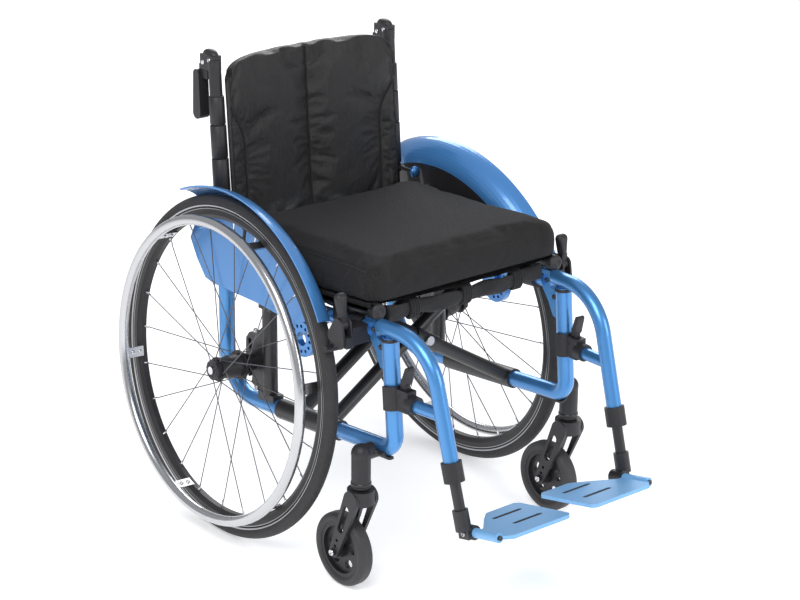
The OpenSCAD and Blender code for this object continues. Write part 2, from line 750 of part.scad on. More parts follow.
cushion_front = -338;
cushion_rear = 46;

// Rests on both seat rails, its two edges hanging outside them onto the saddles
module seat_sling() {
    front = cushion_front + 6;
    rear = cushion_rear - 6;
    top = rail_r + 2;
    edge = rail_x + rail_r + gap;
    translate([0, axle_y, 0]) color("black") {
        plate_yz(0, 2 * edge + 2) polygon([
            [front, seat_rail(front) + rail_r + gap], [rear, seat_rail(rear) + rail_r + gap],
            [rear, seat_rail(rear) + top], [front, seat_rail(front) + top]]);
        for (s = [-1, 1]) plate_yz(s * (edge + 0.8), 1.6) polygon([
            [front, seat_rail(front) - 0.7], [rear, seat_rail(rear) - 0.7],
            [rear, seat_rail(rear) + top], [front, seat_rail(front) + top]]);
    }
}

module cushion() {
    round_r = 20;
    corner = 30;
    base = seat_rail(cushion_front) + rail_r + 2.3;
    rear_base = seat_rail(cushion_rear) + rail_r + 2.3;
    translate([0, axle_y, 0]) color("darkslategray") intersection() {
        plate_yz(0, 2 * cushion_hw) polygon(concat(
            [[cushion_rear, rear_base], [cushion_front, base]],
            [for (a = [0 : 15 : 90]) [cushion_front + round_r - round_r * cos(a),
                base + cushion_t + 6 - round_r + round_r * sin(a)]],
            [[cushion_rear, base + cushion_t - 8]]));
        // rear corners cut back to clear the side guard's knobs
        linear_extrude(height = 2 * base) polygon([
            [-cushion_hw, cushion_front - 1], [cushion_hw, cushion_front - 1],
            [cushion_hw, cushion_rear - corner], [cushion_hw - corner, cushion_rear + 1],
            [-cushion_hw + corner, cushion_rear + 1], [-cushion_hw, cushion_rear - corner]]);
    }
}

module backrest() {
    hw = 184;
    belly = 27;
    steps = 20;
    front = 0.7 - post_r - back_t;
    function sag(i) = belly * (1 - pow(2 * i / steps - 1, 2));
    translate([0, axle_y + rear_y, top_rail(rear_y) + 62]) rotate([-back_lean, 0, 0])
        color("black") translate([0, 0, back_low_z - top_rail(rear_y) - 62])
            linear_extrude(height = post_top_z + 4 - back_low_z) polygon(concat(
                [for (i = [0 : steps]) [hw * (2 * i / steps - 1), front + sag(i)]],
                [for (i = [steps : -1 : 0]) [hw * (2 * i / steps - 1), front + back_t + sag(i)]]));
}

cushion();
seat_sling();
backrest();
brace_rear();
brace_front();
brace_bolt();
side(1) seat_rail_bar();  // seat_rail_left
side(-1) seat_rail_bar();  // seat_rail_right
side(1) frame();  // frame_left
side(-1) frame();  // frame_right
side(1) axle_carrier();  // axle_carrier_left
side(-1) axle_carrier();  // axle_carrier_right
side(1) caster_housing();  // caster_housing_left
side(-1) caster_housing();  // caster_housing_right
side(1) back_post();  // back_post_left
side(-1) back_post();  // back_post_right
side(1) side_guard();  // side_guard_left
side(-1) side_guard();  // side_guard_right
side(1) guard_disc();  // guard_disc_left
side(-1) guard_disc();  // guard_disc_right
side(1) saddles();  // saddles_left
side(-1) saddles();  // saddles_right
side(1) brake_body();  // brake_body_left
side(-1) brake_body();  // brake_body_right
side(1) tyre();  // tyre_left
side(-1) tyre();  // tyre_right
side(1) rim();  // rim_left
side(-1) rim();  // rim_right
side(1) spokes();  // spokes_left
side(-1) spokes();  // spokes_right
side(1) hub();  // hub_left
side(-1) hub();  // hub_right
side(1) handrim();  // handrim_left
side(-1) handrim();  // handrim_right
side(1) axle_button();  // axle_button_left
side(-1) axle_button();  // axle_button_right
side(1) fork();  // fork_left
side(-1) fork();  // fork_right
side(1) caster_tyre();  // caster_tyre_left
side(-1) caster_tyre();  // caster_tyre_right
side(1) caster_hub();  // caster_hub_left
side(-1) caster_hub();  // caster_hub_right
side(1) legrest();  // legrest_left
side(-1) legrest();  // legrest_right
side(1) latch_body();  // latch_body_left
side(-1) latch_body();  // latch_body_right
side(1) latch_lever();  // latch_lever_left
side(-1) latch_lever();  // latch_lever_right
side(1) leg_collar();  // leg_collar_left
side(-1) leg_collar();  // leg_collar_right
side(1) foot_tube();  // foot_tube_left
side(-1) foot_tube();  // foot_tube_right
side(1) footplate();  // footplate_left
side(-1) footplate();  // footplate_right
side(1) push_handle();  // push_handle_left
side(-1) push_handle();  // push_handle_right
side(1) brake_lever();  // brake_lever_left
side(-1) brake_lever();  // brake_lever_right
side(1) brake_shoe();  // brake_shoe_left
side(-1) brake_shoe();  // brake_shoe_right
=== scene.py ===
"""Looks for the folding wheelchair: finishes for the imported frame, and its soft and small pieces."""

import json
import math

import bmesh
import bpy
from bpy.props import FloatProperty, FloatVectorProperty, IntProperty, PointerProperty
from mathutils import Matrix, Vector, noise
from mathutils.bvhtree import BVHTree


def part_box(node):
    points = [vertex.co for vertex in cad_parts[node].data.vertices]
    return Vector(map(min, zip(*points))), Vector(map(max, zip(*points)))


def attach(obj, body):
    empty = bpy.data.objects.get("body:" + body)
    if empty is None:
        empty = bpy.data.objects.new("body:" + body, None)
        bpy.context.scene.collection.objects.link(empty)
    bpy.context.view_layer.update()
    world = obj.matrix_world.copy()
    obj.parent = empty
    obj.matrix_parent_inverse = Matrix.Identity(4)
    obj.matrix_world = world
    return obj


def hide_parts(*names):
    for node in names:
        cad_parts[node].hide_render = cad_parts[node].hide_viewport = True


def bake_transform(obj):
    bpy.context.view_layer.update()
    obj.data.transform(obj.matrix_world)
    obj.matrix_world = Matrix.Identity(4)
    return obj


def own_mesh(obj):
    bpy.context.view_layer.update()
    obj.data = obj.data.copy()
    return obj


bl_info = {
    "name": "Folding wheelchair looks",
    "version": (1, 0, 0),
    "blender": (4, 5, 0),
    "location": "3D View > Sidebar > Wheelchair",
    "description": "Dresses the packed wheelchair frame with upholstery, hardware and finishes",
    "category": "Object",
}

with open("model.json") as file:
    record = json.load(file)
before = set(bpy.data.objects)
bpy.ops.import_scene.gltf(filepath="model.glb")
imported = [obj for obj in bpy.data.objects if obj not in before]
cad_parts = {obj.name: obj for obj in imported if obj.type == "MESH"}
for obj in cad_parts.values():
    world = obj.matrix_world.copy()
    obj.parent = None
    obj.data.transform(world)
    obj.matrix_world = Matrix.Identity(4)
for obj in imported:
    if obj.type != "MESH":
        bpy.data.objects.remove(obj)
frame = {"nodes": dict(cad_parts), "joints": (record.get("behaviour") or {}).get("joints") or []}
NODES = frame["nodes"]
JOINTS = {joint["name"]: joint for joint in frame["joints"]}
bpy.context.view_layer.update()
SIDES = (("left", 1), ("right", -1))

SEAT_SLOPE = math.radians(5)
BACK_LEAN = math.radians(4)
PLATE_TILT = math.radians(12)
RIM_INNER = 0.2567
KNEE_HEIGHT = 0.474


def joint_place(name):
    """The joint's point and axis at rest."""
    joint = JOINTS[name]
    return Vector(joint["pos_m"]), Vector(joint["axis"]).normalized()


def wheel_matrix(side):
    """From a wheel's own frame (X outward along its axle) to the row frame."""
    centre, axis = joint_place(f"wheel_spin_{side}")
    back = Vector((0, 1, 0))
    up = axis.cross(back) if axis.x > 0 else back.cross(axis)
    turned = Matrix((axis, back, up)).transposed().to_4x4()
    return Matrix.Translation(centre) @ turned


def wheel_spot(side, turn, radius, off=0.0):
    """A point of the wheel at an angle, radius and outward offset, and the way from it to the hub."""
    place = wheel_matrix(side)
    radial = Vector((0, math.cos(turn), math.sin(turn)))
    return place @ (radial * radius + Vector((off, 0, 0))), place.to_3x3() @ -radial


# ---------------------------------------------------------------- properties


class ChairSizes(bpy.types.PropertyGroup):
    cushion_puff: FloatProperty(
        name="Cushion puff",
        description="How far the seat cushion's cover may swell",
        default=0.008,
        min=0.0,
        max=0.02,
        unit="LENGTH",
    )
    back_puff: FloatProperty(
        name="Back puff",
        description="How far the back upholstery's panels may swell",
        default=0.011,
        min=0.0,
        max=0.02,
        unit="LENGTH",
    )
    welt: FloatProperty(
        name="Welt radius",
        description="Radius of the sewn welts on the upholstery",
        default=0.0013,
        min=0.0005,
        max=0.004,
        unit="LENGTH",
    )
    screw: FloatProperty(
        name="Screw head radius",
        description="Radius of the frame's screw heads",
        default=0.0045,
        min=0.002,
        max=0.008,
        unit="LENGTH",
    )
    spokes: IntProperty(
        name="Spokes",
        description="Spokes in one rear wheel, to seat the nipples on",
        default=24,
        min=12,
        max=36,
    )


def colour(name, description, value):
    return FloatVectorProperty(
        name=name, description=description, subtype="COLOR", size=3, default=value, min=0.0, max=1.0
    )


class ChairColours(bpy.types.PropertyGroup):
    frame: colour("Frame", "Metallic paint on the tubes", (0.075, 0.27, 0.60))
    guard: colour("Side guards", "Paint on the fenders and discs", (0.065, 0.24, 0.57))
    plate: colour("Footplates", "Paint on the footplates", (0.19, 0.44, 0.76))
    plastic: colour("Mouldings", "Black moulded nylon", (0.017, 0.016, 0.018))
    coat: colour("Black metal", "Black powder coat", (0.014, 0.013, 0.014))
    tyre: colour("Tyres", "Tyre rubber", (0.027, 0.026, 0.027))
    stripe: colour("Tyre stripe", "Reflective stripe on the tyres", (0.56, 0.56, 0.57))
    cushion: colour("Cushion", "Spacer mesh of the seat cushion", (0.0105, 0.0098, 0.0102))
    back: colour("Back", "Nylon of the back upholstery", (0.0125, 0.0118, 0.0122))


# ------------------------------------------------------------- shader writing


class Wire:
    """A shader socket that works in Python arithmetic."""

    def __init__(self, tree, socket):
        self.tree = tree
        self.socket = socket

    def maths(self, operation, *others, clamp=False):
        node = self.tree.nodes.new("ShaderNodeMath")
        node.operation = operation
        node.use_clamp = clamp
        for slot, value in zip(node.inputs, (self, *others)):
            plug(self.tree, slot, value)
        return Wire(self.tree, node.outputs[0])

    def __add__(self, other):
        return self.maths("ADD", other)

    __radd__ = __add__

    def __sub__(self, other):
        return self.maths("SUBTRACT", other)

    def __rsub__(self, other):
        return (self * -1.0) + other

    def __mul__(self, other):
        return self.maths("MULTIPLY", other)

    __rmul__ = __mul__

    def __truediv__(self, other):
        return self.maths("DIVIDE", other)

    def __pow__(self, power):
        return self.maths("POWER", power)

    def __abs__(self):
        return self.maths("ABSOLUTE")

    def __gt__(self, limit):
        return self.maths("GREATER_THAN", limit)

    def __lt__(self, limit):
        return self.maths("LESS_THAN", limit)

    def sine(self):
        return self.maths("SINE")

    def clamped(self):
        return self.maths("ADD", 0.0, clamp=True)


def plug(tree, slot, value):
    if isinstance(value, Wire):
        tree.links.new(value.socket, slot)
    else:
        slot.default_value = value


class Finish:
    """A node material with one Principled shader."""

    def __init__(self, name, **constants):
        self.material = bpy.data.materials.new(name)
        self.material.use_nodes = True
        self.tree = self.material.node_tree
        self.tree.nodes.clear()
        self.shader = self.tree.nodes.new("ShaderNodeBsdfPrincipled")
        out = self.tree.nodes.new("ShaderNodeOutputMaterial")
        self.tree.links.new(self.shader.outputs[0], out.inputs[0])
        for key, value in constants.items():
            self.shader.inputs[key.replace("_", " ")].default_value = value
        self.place = self.put("TexCoord", output="Object")

    def put(self, kind, settings=None, sockets=None, output=0):
        """Adds a node: its settings first, then its sockets' values or links."""
        node = self.tree.nodes.new("ShaderNode" + kind)
        for key, value in (settings or {}).items():
            if key == "stops":
                ramp = node.color_ramp
                while len(ramp.elements) < len(value):
                    ramp.elements.new(0.5)
                for element, (at, shade) in zip(ramp.elements, value):
                    element.position = at
                    element.color = shade
            else:
                setattr(node, key, value)
        for key, value in (sockets or {}).items():
            plug(self.tree, node.inputs[key], value)
        return Wire(self.tree, node.outputs[output])

    def feed(self, socket, wire):
        plug(self.tree, self.shader.inputs[socket], wire)

    def noise(self, scale, detail=3.0, rough=0.5, at=None):
        return self.put(
            "TexNoise",
            {"noise_dimensions": "3D"},
            {"Vector": at or self.place, "Scale": scale, "Detail": detail, "Roughness": rough},
        )

    def cells(self, scale, at=None, feature="F1"):
        return self.put(
            "TexVoronoi",
            {"feature": feature, "voronoi_dimensions": "3D"},
            {"Vector": at or self.place, "Scale": scale},
        )

    def mix(self, factor, one, two):
        node = self.tree.nodes.new("ShaderNodeMix")
        node.data_type = "RGBA"
        plug(self.tree, node.inputs[0], factor)
        for slot, value in ((node.inputs[6], one), (node.inputs[7], two)):
            plug(self.tree, slot, value if isinstance(value, Wire) else (*value[:3], 1.0))
        return Wire(self.tree, node.outputs[2])

    def stretched(self, scale):
        """The object's place, scaled along each axis."""
        return self.put("Mapping", {"vector_type": "POINT"}, {"Vector": self.place, "Scale": scale})

    def parts(self, vector=None):
        node = self.tree.nodes.new("ShaderNodeSeparateXYZ")
        plug(self.tree, node.inputs[0], vector or self.place)
        return [Wire(self.tree, out) for out in node.outputs]

    def bump(self, height, distance, strength=1.0):
        wire = self.put(
            "Bump", None, {"Height": height, "Distance": distance, "Strength": strength}
        )
        self.feed("Normal", wire)

    def wheel_place(self, side):
        """(outward, radius, angle) in the wheel's own frame."""
        centre, axis = joint_place(f"wheel_spin_{side}")
        way = 1 if axis.x > 0 else -1
        lean = math.asin(axis.z)
        local = self.put(
            "Mapping",
            {"vector_type": "TEXTURE"},
            {"Vector": self.place, "Location": centre, "Rotation": (0, -way * lean, 0)},
        )
        x, y, z = self.parts(local)
        return x * float(way), (y * y + z * z) ** 0.5, z.maths("ARCTAN2", y)


def band(value, low, high, soft):
    """1 where value lies between low and high, fading over soft."""
    return ((value - low) * (1 / soft)).clamped() * ((high - value) * (1 / soft)).clamped()


def shade(colour_value, factor):
    return tuple(min(1.0, c * factor) for c in colour_value)


def painted(name, base, flake=0.35):
    """Metallic paint under a clear coat, with fine flake and faint handling marks."""
    skin = Finish(name, Metallic=0.72, Roughness=0.34, Coat_Weight=0.55, Coat_Roughness=0.07, IOR=1.5)
    cloud = skin.noise(9.0, 2.0)
    sparkle = skin.cells(2600.0)
    tone = skin.mix(cloud * flake, shade(base, 1.06), shade(base, 0.84))
    scuff = (skin.noise(70.0, 6.0, 0.7) > 0.71) * 0.5
    skin.feed("Base Color", skin.mix(scuff * 0.25, tone, shade(base, 1.5)))
    skin.feed("Roughness", 0.29 + cloud * 0.10 + sparkle * 0.05)
    skin.bump(sparkle * 0.3 + cloud * 0.7, 0.00004)
    return skin.material


def lined_guard(name, base, lining, side):
    """Painted outside and over the crest, with a black liner on the face towards the seat."""
    skin = Finish(name, Coat_Weight=0.5, Coat_Roughness=0.08, IOR=1.5)
    out, radius, _ = skin.wheel_place(side)
    nx, _, _ = skin.parts(skin.put("TexCoord", output="Normal"))
    way = 1.0 if side == "left" else -1.0
    inward = (nx * way) < -0.4
    liner = inward * (radius < 0.2745) * (out < -0.0195)
    cloud = skin.noise(8.0, 2.0)
    sparkle = skin.cells(2600.0)
    grain = skin.cells(900.0)
    paint = skin.mix(cloud * 0.4, shade(base, 1.07), shade(base, 0.86))
    skin.feed("Base Color", skin.mix(liner, paint, lining))
    skin.feed("Metallic", (1.0 - liner) * 0.30)
    skin.feed("Roughness", liner * 0.30 + cloud * 0.10 + 0.26)
    skin.bump(liner * grain * 2.0 + sparkle * 0.25, 0.00006)
    return skin.material


def moulded(name, base, rough=0.46, grain=1400.0):
    """Spark-eroded black nylon: fine grain, a few greyer rubbed places."""
    skin = Finish(name, IOR=1.46)
    cloud = skin.noise(24.0, 4.0)
    cells = skin.cells(grain)
    rub = ((skin.noise(55.0, 5.0, 0.65) - 0.56) * 6.0).clamped()
    tone = skin.mix(cloud, shade(base, 0.8), shade(base, 1.45))
    skin.feed("Base Color", skin.mix(rub * 0.35, tone, shade(base, 2.4)))
    skin.feed("Roughness", rough - 0.08 + cloud * 0.16)
    skin.bump(cells + cloud * 0.6, 0.00009)
    return skin.material


def powder(name, base, rough=0.36):
    """Black powder coat with its faint orange peel."""
    skin = Finish(name, IOR=1.5, Coat_Weight=0.15, Coat_Roughness=0.2)
    peel = skin.noise(520.0, 2.0)
    cloud = skin.noise(14.0, 3.0)
    skin.feed("Base Color", skin.mix(cloud, shade(base, 0.85), shade(base, 1.4)))
    skin.feed("Roughness", rough - 0.05 + cloud * 0.12)
    skin.bump(peel, 0.00012)
    return skin.material


def bright(name, base, rough=0.12, brushed=0.0):
    """Polished or lightly brushed metal."""
    skin = Finish(name, Metallic=1.0)
    cloud = skin.noise(30.0, 4.0)
    lines = skin.noise(260.0, 3.0, 0.6, at=skin.stretched((0.6, 6.0, 6.0)))
    skin.feed("Base Color", skin.mix(cloud, shade(base, 0.93), base))
    skin.feed("Roughness", rough + cloud * 0.06 + lines * brushed)
    skin.bump(lines, 0.00002 + 0.00004 * brushed)
    return skin.material


def tyre_rubber(name, base, stripe, side):
    """Treaded crown, ribbed wall and the pale reflective stripe."""
    skin = Finish(name, IOR=1.45)
    out, radius, angle = skin.wheel_place(side)
    away = abs(out)
    cloud = skin.noise(40.0, 4.0)
    dust = skin.noise(160.0, 6.0, 0.7)
    line = band(radius, 0.2772, 0.2798, 0.0003) * (away > 0.008)
    crown = ((0.0098 - away) * 900.0).clamped() * (radius > 0.290)
    chevron = ((angle * 96.0 + away * 900.0).sine() * 3.0).clamped()
    shoulder = ((angle * 192.0 - away * 1500.0).sine() * 3.0).clamped()
    centre_groove = (away < 0.0012) + band(away, 0.0058, 0.0068, 0.0003)
    blocks = crown * (chevron * (away < 0.006) + shoulder * (away > 0.006)) * (1.0 - centre_groove)
    wall = (radius * (2 * math.pi / 0.00085)).sine() * 0.10 * (1.0 - crown) * (1.0 - line)
    worn = skin.mix(dust, shade(base, 0.75), shade(base, 1.7))
    skin.feed("Base Color", skin.mix(line, worn, stripe))
    skin.feed("Roughness", 0.58 + cloud * 0.16 - line * 0.2)
    skin.bump(blocks * 1.0 + wall + dust * 0.15, 0.0009)
    return skin.material


def rim_metal(name, base, side):
    """Black anodised rim with a bright worn edge beside the tyre."""
    skin = Finish(name)
    _, radius, _ = skin.wheel_place(side)
    cloud = skin.noise(24.0, 3.0)
    edge = band(radius, 0.2728, 0.2752, 0.0003)
    lathe = (radius * (2 * math.pi / 0.0006)).sine()
    black = skin.mix(cloud, shade(base, 0.8), shade(base, 1.8))
    skin.feed("Base Color", skin.mix(edge * 0.8, black, (0.42, 0.42, 0.43)))
    skin.feed("Metallic", edge * 0.9)
    skin.feed("Roughness", 0.40 + cloud * 0.12 - edge * 0.12)
    skin.bump(lathe * 0.4 + cloud, 0.00003)
    return skin.material


def spacer_mesh(name, base):
    """Knitted spacer fabric: rows of small open cells, with painted shade inside each cell."""
    skin = Finish(name, IOR=1.4, Sheen_Weight=0.05, Sheen_Roughness=0.45)
    skin.shader.inputs["Sheen Tint"].default_value = (0.75, 0.75, 0.8, 1)
    x, y, z = skin.parts()
    pitch = 2 * math.pi / 0.0034
    run = y * 0.94 - z * 0.9
    row = (x * pitch).sine() * (run * pitch).sine()
    knit = (x * (pitch * 2.0) + run * pitch).sine() * 0.25
    hole = ((row - 0.12) * 2.4).clamped()
    cloud = skin.noise(7.0, 3.0)
    fuzz = skin.noise(900.0, 2.0)
    # painted shade: the open cells are coloured much darker than the threads round them, standing in for the
    # shade inside each cell
    tone = skin.mix(hole, shade(base, 1.45), shade(base, 0.35))
    skin.feed("Base Color", skin.mix(cloud * 0.4, tone, shade(base, 0.9)))
    skin.feed("Roughness", 0.76 + fuzz * 0.14)
    skin.bump((1.0 - hole) + knit + fuzz * 0.2, 0.0007)
    return skin.material


def soft_nylon(name, base):
    """Coated nylon with a satin shine, a fine plain weave and small creases, with painted highlight on their
    crests and painted shade in their hollows.
    """
    skin = Finish(name, IOR=1.45, Sheen_Weight=0.06, Sheen_Roughness=0.3)
    x, _, z = skin.parts()
    thread = 2 * math.pi / 0.0007
    weave = (x * thread).sine() * (z * thread).sine()
    crease = skin.noise(26.0, 5.0, 0.62, at=skin.stretched((1.3, 1.0, 0.55)))
    fine = skin.noise(120.0, 4.0, 0.6, at=skin.stretched((1.0, 1.0, 0.5)))
    # painted highlight and shade: the colour follows the crease relief, lighter on its crests and darker in
    # its hollows
    skin.feed("Base Color", skin.mix(crease, shade(base, 0.8), shade(base, 1.5)))
    skin.feed("Roughness", 0.30 + crease * 0.16 + fine * 0.06)
    skin.bump(crease * 1.0 + fine * 0.22 + weave * 0.02, 0.0042)
    return skin.material


def webbing(name, base):
    """Herringbone strap."""
    skin = Finish(name, IOR=1.4, Sheen_Weight=0.1, Sheen_Roughness=0.4)
    x, y, z = skin.parts()
    slant = ((x + y + z) * (2 * math.pi / 0.0021)).sine()
    rib = (x * (2 * math.pi / 0.0011)).sine()
    cloud = skin.noise(30.0, 4.0)
    skin.feed("Base Color", skin.mix(slant * 0.5 + 0.5, shade(base, 0.7), shade(base, 1.7)))
    skin.feed("Roughness", 0.62 + cloud * 0.2)
    skin.bump(slant + rib * 0.5, 0.00035)
    return skin.material


def grit_plate(name, base):
    """Painted plate with a fine anti-slip grit, rubbed pale where feet rest."""
    skin = Finish(name, Metallic=0.12, IOR=1.5, Coat_Weight=0.25, Coat_Roughness=0.15)
    grit = skin.cells(520.0)
    cloud = skin.noise(12.0, 3.0)
    scuff = ((skin.noise(38.0, 7.0, 0.75) - 0.60) * 8.0).clamped()
    tone = skin.mix(cloud, shade(base, 0.9), shade(base, 1.1))
    skin.feed("Base Color", skin.mix(scuff * 0.3, tone, shade(base, 1.35)))
    skin.feed("Roughness", 0.34 + cloud * 0.1 + scuff * 0.15)
    skin.bump(grit, 0.00012)
    return skin.material


def soft_floor(name):
    skin = Finish(name, Roughness=0.9, Specular_IOR_Level=0.1, Emission_Strength=0.42)
    skin.shader.inputs["Emission Color"].default_value = (1, 1, 1, 1)
    cloud = skin.noise(0.6, 2.0)
    skin.feed("Base Color", skin.mix(cloud, (0.93, 0.93, 0.935), (0.95, 0.95, 0.95)))
    return skin.material


FINISHES = {}


def finish_named(name, maker, *values):
    if name not in FINISHES:
        FINISHES[name] = maker(name, *values)
    return FINISHES[name]


def dress(node, material):
    obj = NODES[node]
    obj.data.materials.clear()
    obj.data.materials.append(material)


def both(*stems):
    return [f"{stem}_{side}" for stem in stems for side, _ in SIDES]


# -------------------------------------------------------------- mesh helpers


def piece(name, mesh, material, body, smooth=True):
    """Puts a finished bmesh in the scene, riding on a body."""
    data = bpy.data.meshes.new(name)
    bmesh.ops.recalc_face_normals(mesh, faces=mesh.faces)
    mesh.to_mesh(data)
    mesh.free()
    data.materials.append(material)
    if smooth:
        data.shade_smooth()
    obj = bpy.data.objects.new(name, data)
    bpy.context.scene.collection.objects.link(obj)
    if body:
        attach(obj, body)
    return obj


def frame_along(normal):
    """A rotation whose Z is normal."""
    return Vector((0, 0, 1)).rotation_difference(Vector(normal).normalized()).to_matrix().to_4x4()


def add_lathe(mesh, outline, at, normal, steps=24):
    """Turns an outline of (radius, height) round the normal through at."""
    place = Matrix.Translation(Vector(at)) @ frame_along(normal)
    rings = []
    for radius, height in outline:
        if radius < 1e-6:
            rings.append([mesh.verts.new(place @ Vector((0, 0, height)))])
            continue
        rings.append(
            [
                mesh.verts.new(
                    place
                    @ Vector(
                        (
                            radius * math.cos(2 * math.pi * i / steps),
                            radius * math.sin(2 * math.pi * i / steps),
                            height,
                        )
                    )
                )
                for i in range(steps)
            ]
        )
    for low, high in zip(rings, rings[1:]):
        for i in range(steps):
            j = (i + 1) % steps
            corners = [low[i % len(low)], low[j % len(low)], high[j % len(high)], high[i % len(high)]]
            face = []
            for corner in corners:
                if corner not in face:
                    face.append(corner)
            if len(face) > 2:
                mesh.faces.new(face)


def bridge(mesh, rings, closed=False, ends=(True, True)):
    """Joins rings of points into a skin, and closes its first and last ring."""
    pairs = list(zip(rings, rings[1:]))
    if closed:
        pairs.append((rings[-1], rings[0]))
    for low, high in pairs:
        for k in range(len(low)):
            n = (k + 1) % len(low)
            mesh.faces.new((low[k], low[n], high[n], high[k]))
    if ends[0] and not closed:
        mesh.faces.new(list(reversed(rings[0])))
    if ends[1] and not closed:
        mesh.faces.new(rings[-1])


def fill_grid(mesh, grid, flip=False):
    """Joins rows of points into a sheet."""
    for row, after in zip(grid, grid[1:]):
        for i in range(len(row) - 1):
            face = [row[i], row[i + 1], after[i + 1], after[i]]
            mesh.faces.new(reversed(face) if flip else face)


def add_screw(mesh, at, normal, r):
    """A low button head with a hex socket."""
    outline = [
        (r, -0.2 * r),
        (r, 0.15 * r),
        (0.93 * r, 0.38 * r),
        (0.78 * r, 0.55 * r),
        (0.55 * r, 0.62 * r),
    ]
    add_lathe(mesh, outline, at, normal, 20)
    socket = [(0.56 * r, 0.62 * r), (0.5 * r, 0.56 * r), (0.5 * r, 0.1 * r), (0, 0.05 * r)]
    add_lathe(mesh, socket, at, normal, 6)


def add_tube(mesh, path, radius, steps=8, closed=False):
    """A round tube along a list of points."""
    rings = []
    count = len(path)
    side = None
    for i, point in enumerate(path):
        ahead = path[(i + 1) % count] if closed or i < count - 1 else point
        behind = path[i - 1] if closed or i > 0 else point
        along = (ahead - behind).normalized()
        if side is None:
            side = along.orthogonal().normalized()
        side = (side - along * side.dot(along)).normalized()
        other = along.cross(side)
        rings.append(
            [
                mesh.verts.new(
                    point
                    + side * radius * math.cos(2 * math.pi * k / steps)
                    + other * radius * math.sin(2 * math.pi * k / steps)
                )
                for k in range(steps)
            ]
        )
    bridge(mesh, rings, closed)


def smoothstep(low, high, value):
    t = min(1.0, max(0.0, (value - low) / (high - low)))
    return t * t * (3 - 2 * t)


def swell(obj, pinned, pressure, growth, cap, frames=20):
    """Blows a padded piece up as cloth, keeps each point within cap of its start, and applies it."""
    scene = bpy.context.scene
    rest = [v.co.copy() for v in obj.data.vertices]
    group = obj.vertex_groups.new(name="sewn")
    for index in pinned:
        group.add([index], 1.0, "REPLACE")
    cloth = obj.modifiers.new("swell", "CLOTH")
    settings = cloth.settings
    settings.vertex_group_mass = group.name
    settings.pin_stiffness = 2.0
    settings.use_pressure = True
    settings.uniform_pressure_force = pressure
    settings.shrink_min = -growth
    settings.mass = 0.15
    settings.tension_stiffness = 12
    settings.compression_stiffness = 12
    settings.bending_stiffness = 0.35
    settings.quality = 6
    settings.effector_weights.gravity = 0.0
    cloth.point_cache.frame_start = 1
    cloth.point_cache.frame_end = frames
    for step in range(1, frames + 1):
        scene.frame_set(step)
    shaped = obj.evaluated_get(bpy.context.evaluated_depsgraph_get())
    moved = [v.co.copy() for v in shaped.data.vertices]
    obj.modifiers.remove(cloth)
    obj.vertex_groups.remove(group)
    scene.frame_set(1)
    for vertex, start, end in zip(obj.data.vertices, rest, moved):
        shift = end - start
        if shift.length > cap:
            shift *= cap / shift.length
        vertex.co = start + shift
    obj.data.update()


def subdivide(obj):
    """One smooth subdivision, applied."""
    modifier = obj.modifiers.new("smooth", "SUBSURF")
    modifier.levels = 1
    modifier.render_levels = 1
    shaped = obj.evaluated_get(bpy.context.evaluated_depsgraph_get())
    data = bpy.data.meshes.new_from_object(shaped)
    obj.modifiers.clear()
    obj.data = data
    obj.data.shade_smooth()


def hang_between_rails(obj):
    """Bakes the object's transform into its mesh and leaves the object at the origin."""
    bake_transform(obj)


def surface_of(obj):
    mesh = bmesh.new()
    mesh.from_mesh(obj.data)
    tree = BVHTree.FromBMesh(mesh)
    mesh.free()
    return tree


def laid_on(tree, points, direction, lift):
    """Each point dropped along direction onto a surface and lifted off it a little."""
    laid = []
    for point in points:
        hit, normal, _, _ = tree.ray_cast(point, direction)
        if hit is not None:
            laid.append(hit + normal * lift)
    return laid


# ------------------------------------------------------------------ operators


class ChairStep:
    """What the building steps share"""

    bl_options = {"REGISTER", "UNDO"}

    @property
    def sizes(self):
        return bpy.context.scene.chair_sizes

    @property
    def colours(self):
        return bpy.context.scene.chair_colours


class PaintFrame(ChairStep, bpy.types.Operator):
    """Paints the tubes, side guards, mouldings and plates"""

    bl_idname = "chair.paint_frame"
    bl_label = "Paint the frame"

    def execute(self, context):
        c = self.colours
        tube = finish_named("blue metallic tube paint", painted, tuple(c.frame))
        disc = finish_named("blue disc paint", painted, tuple(c.guard))
        plate = finish_named("footplate paint", grit_plate, tuple(c.plate))
        nylon = finish_named("black moulded nylon", moulded, tuple(c.plastic))
        coat = finish_named("black powder coat", powder, tuple(c.coat))
        for node in both("frame", "legrest"):
            dress(node, tube)
        for node in both("guard_disc"):
            dress(node, disc)
        for side, _ in SIDES:
            name = f"blue guard paint, {side}"
            dress(
                f"side_guard_{side}",
                finish_named(name, lined_guard, tuple(c.guard), shade(c.plastic, 0.7), side),
            )
        for node in both("footplate"):
            dress(node, plate)
        for node in both(
            "caster_housing", "saddles", "brake_body", "brake_lever", "brake_shoe", "fork",
            "caster_hub", "latch_body", "latch_lever", "leg_collar", "push_handle", "back_post",
        ):
            dress(node, nylon)
        for node in both("axle_carrier", "foot_tube", "seat_rail") + ["brace_rear", "brace_front"]:
            dress(node, coat)
        steel = finish_named("zinc plated steel", bright, (0.50, 0.50, 0.52), 0.28, 0.1)
        dress("brace_bolt", steel)
        return {"FINISHED"}


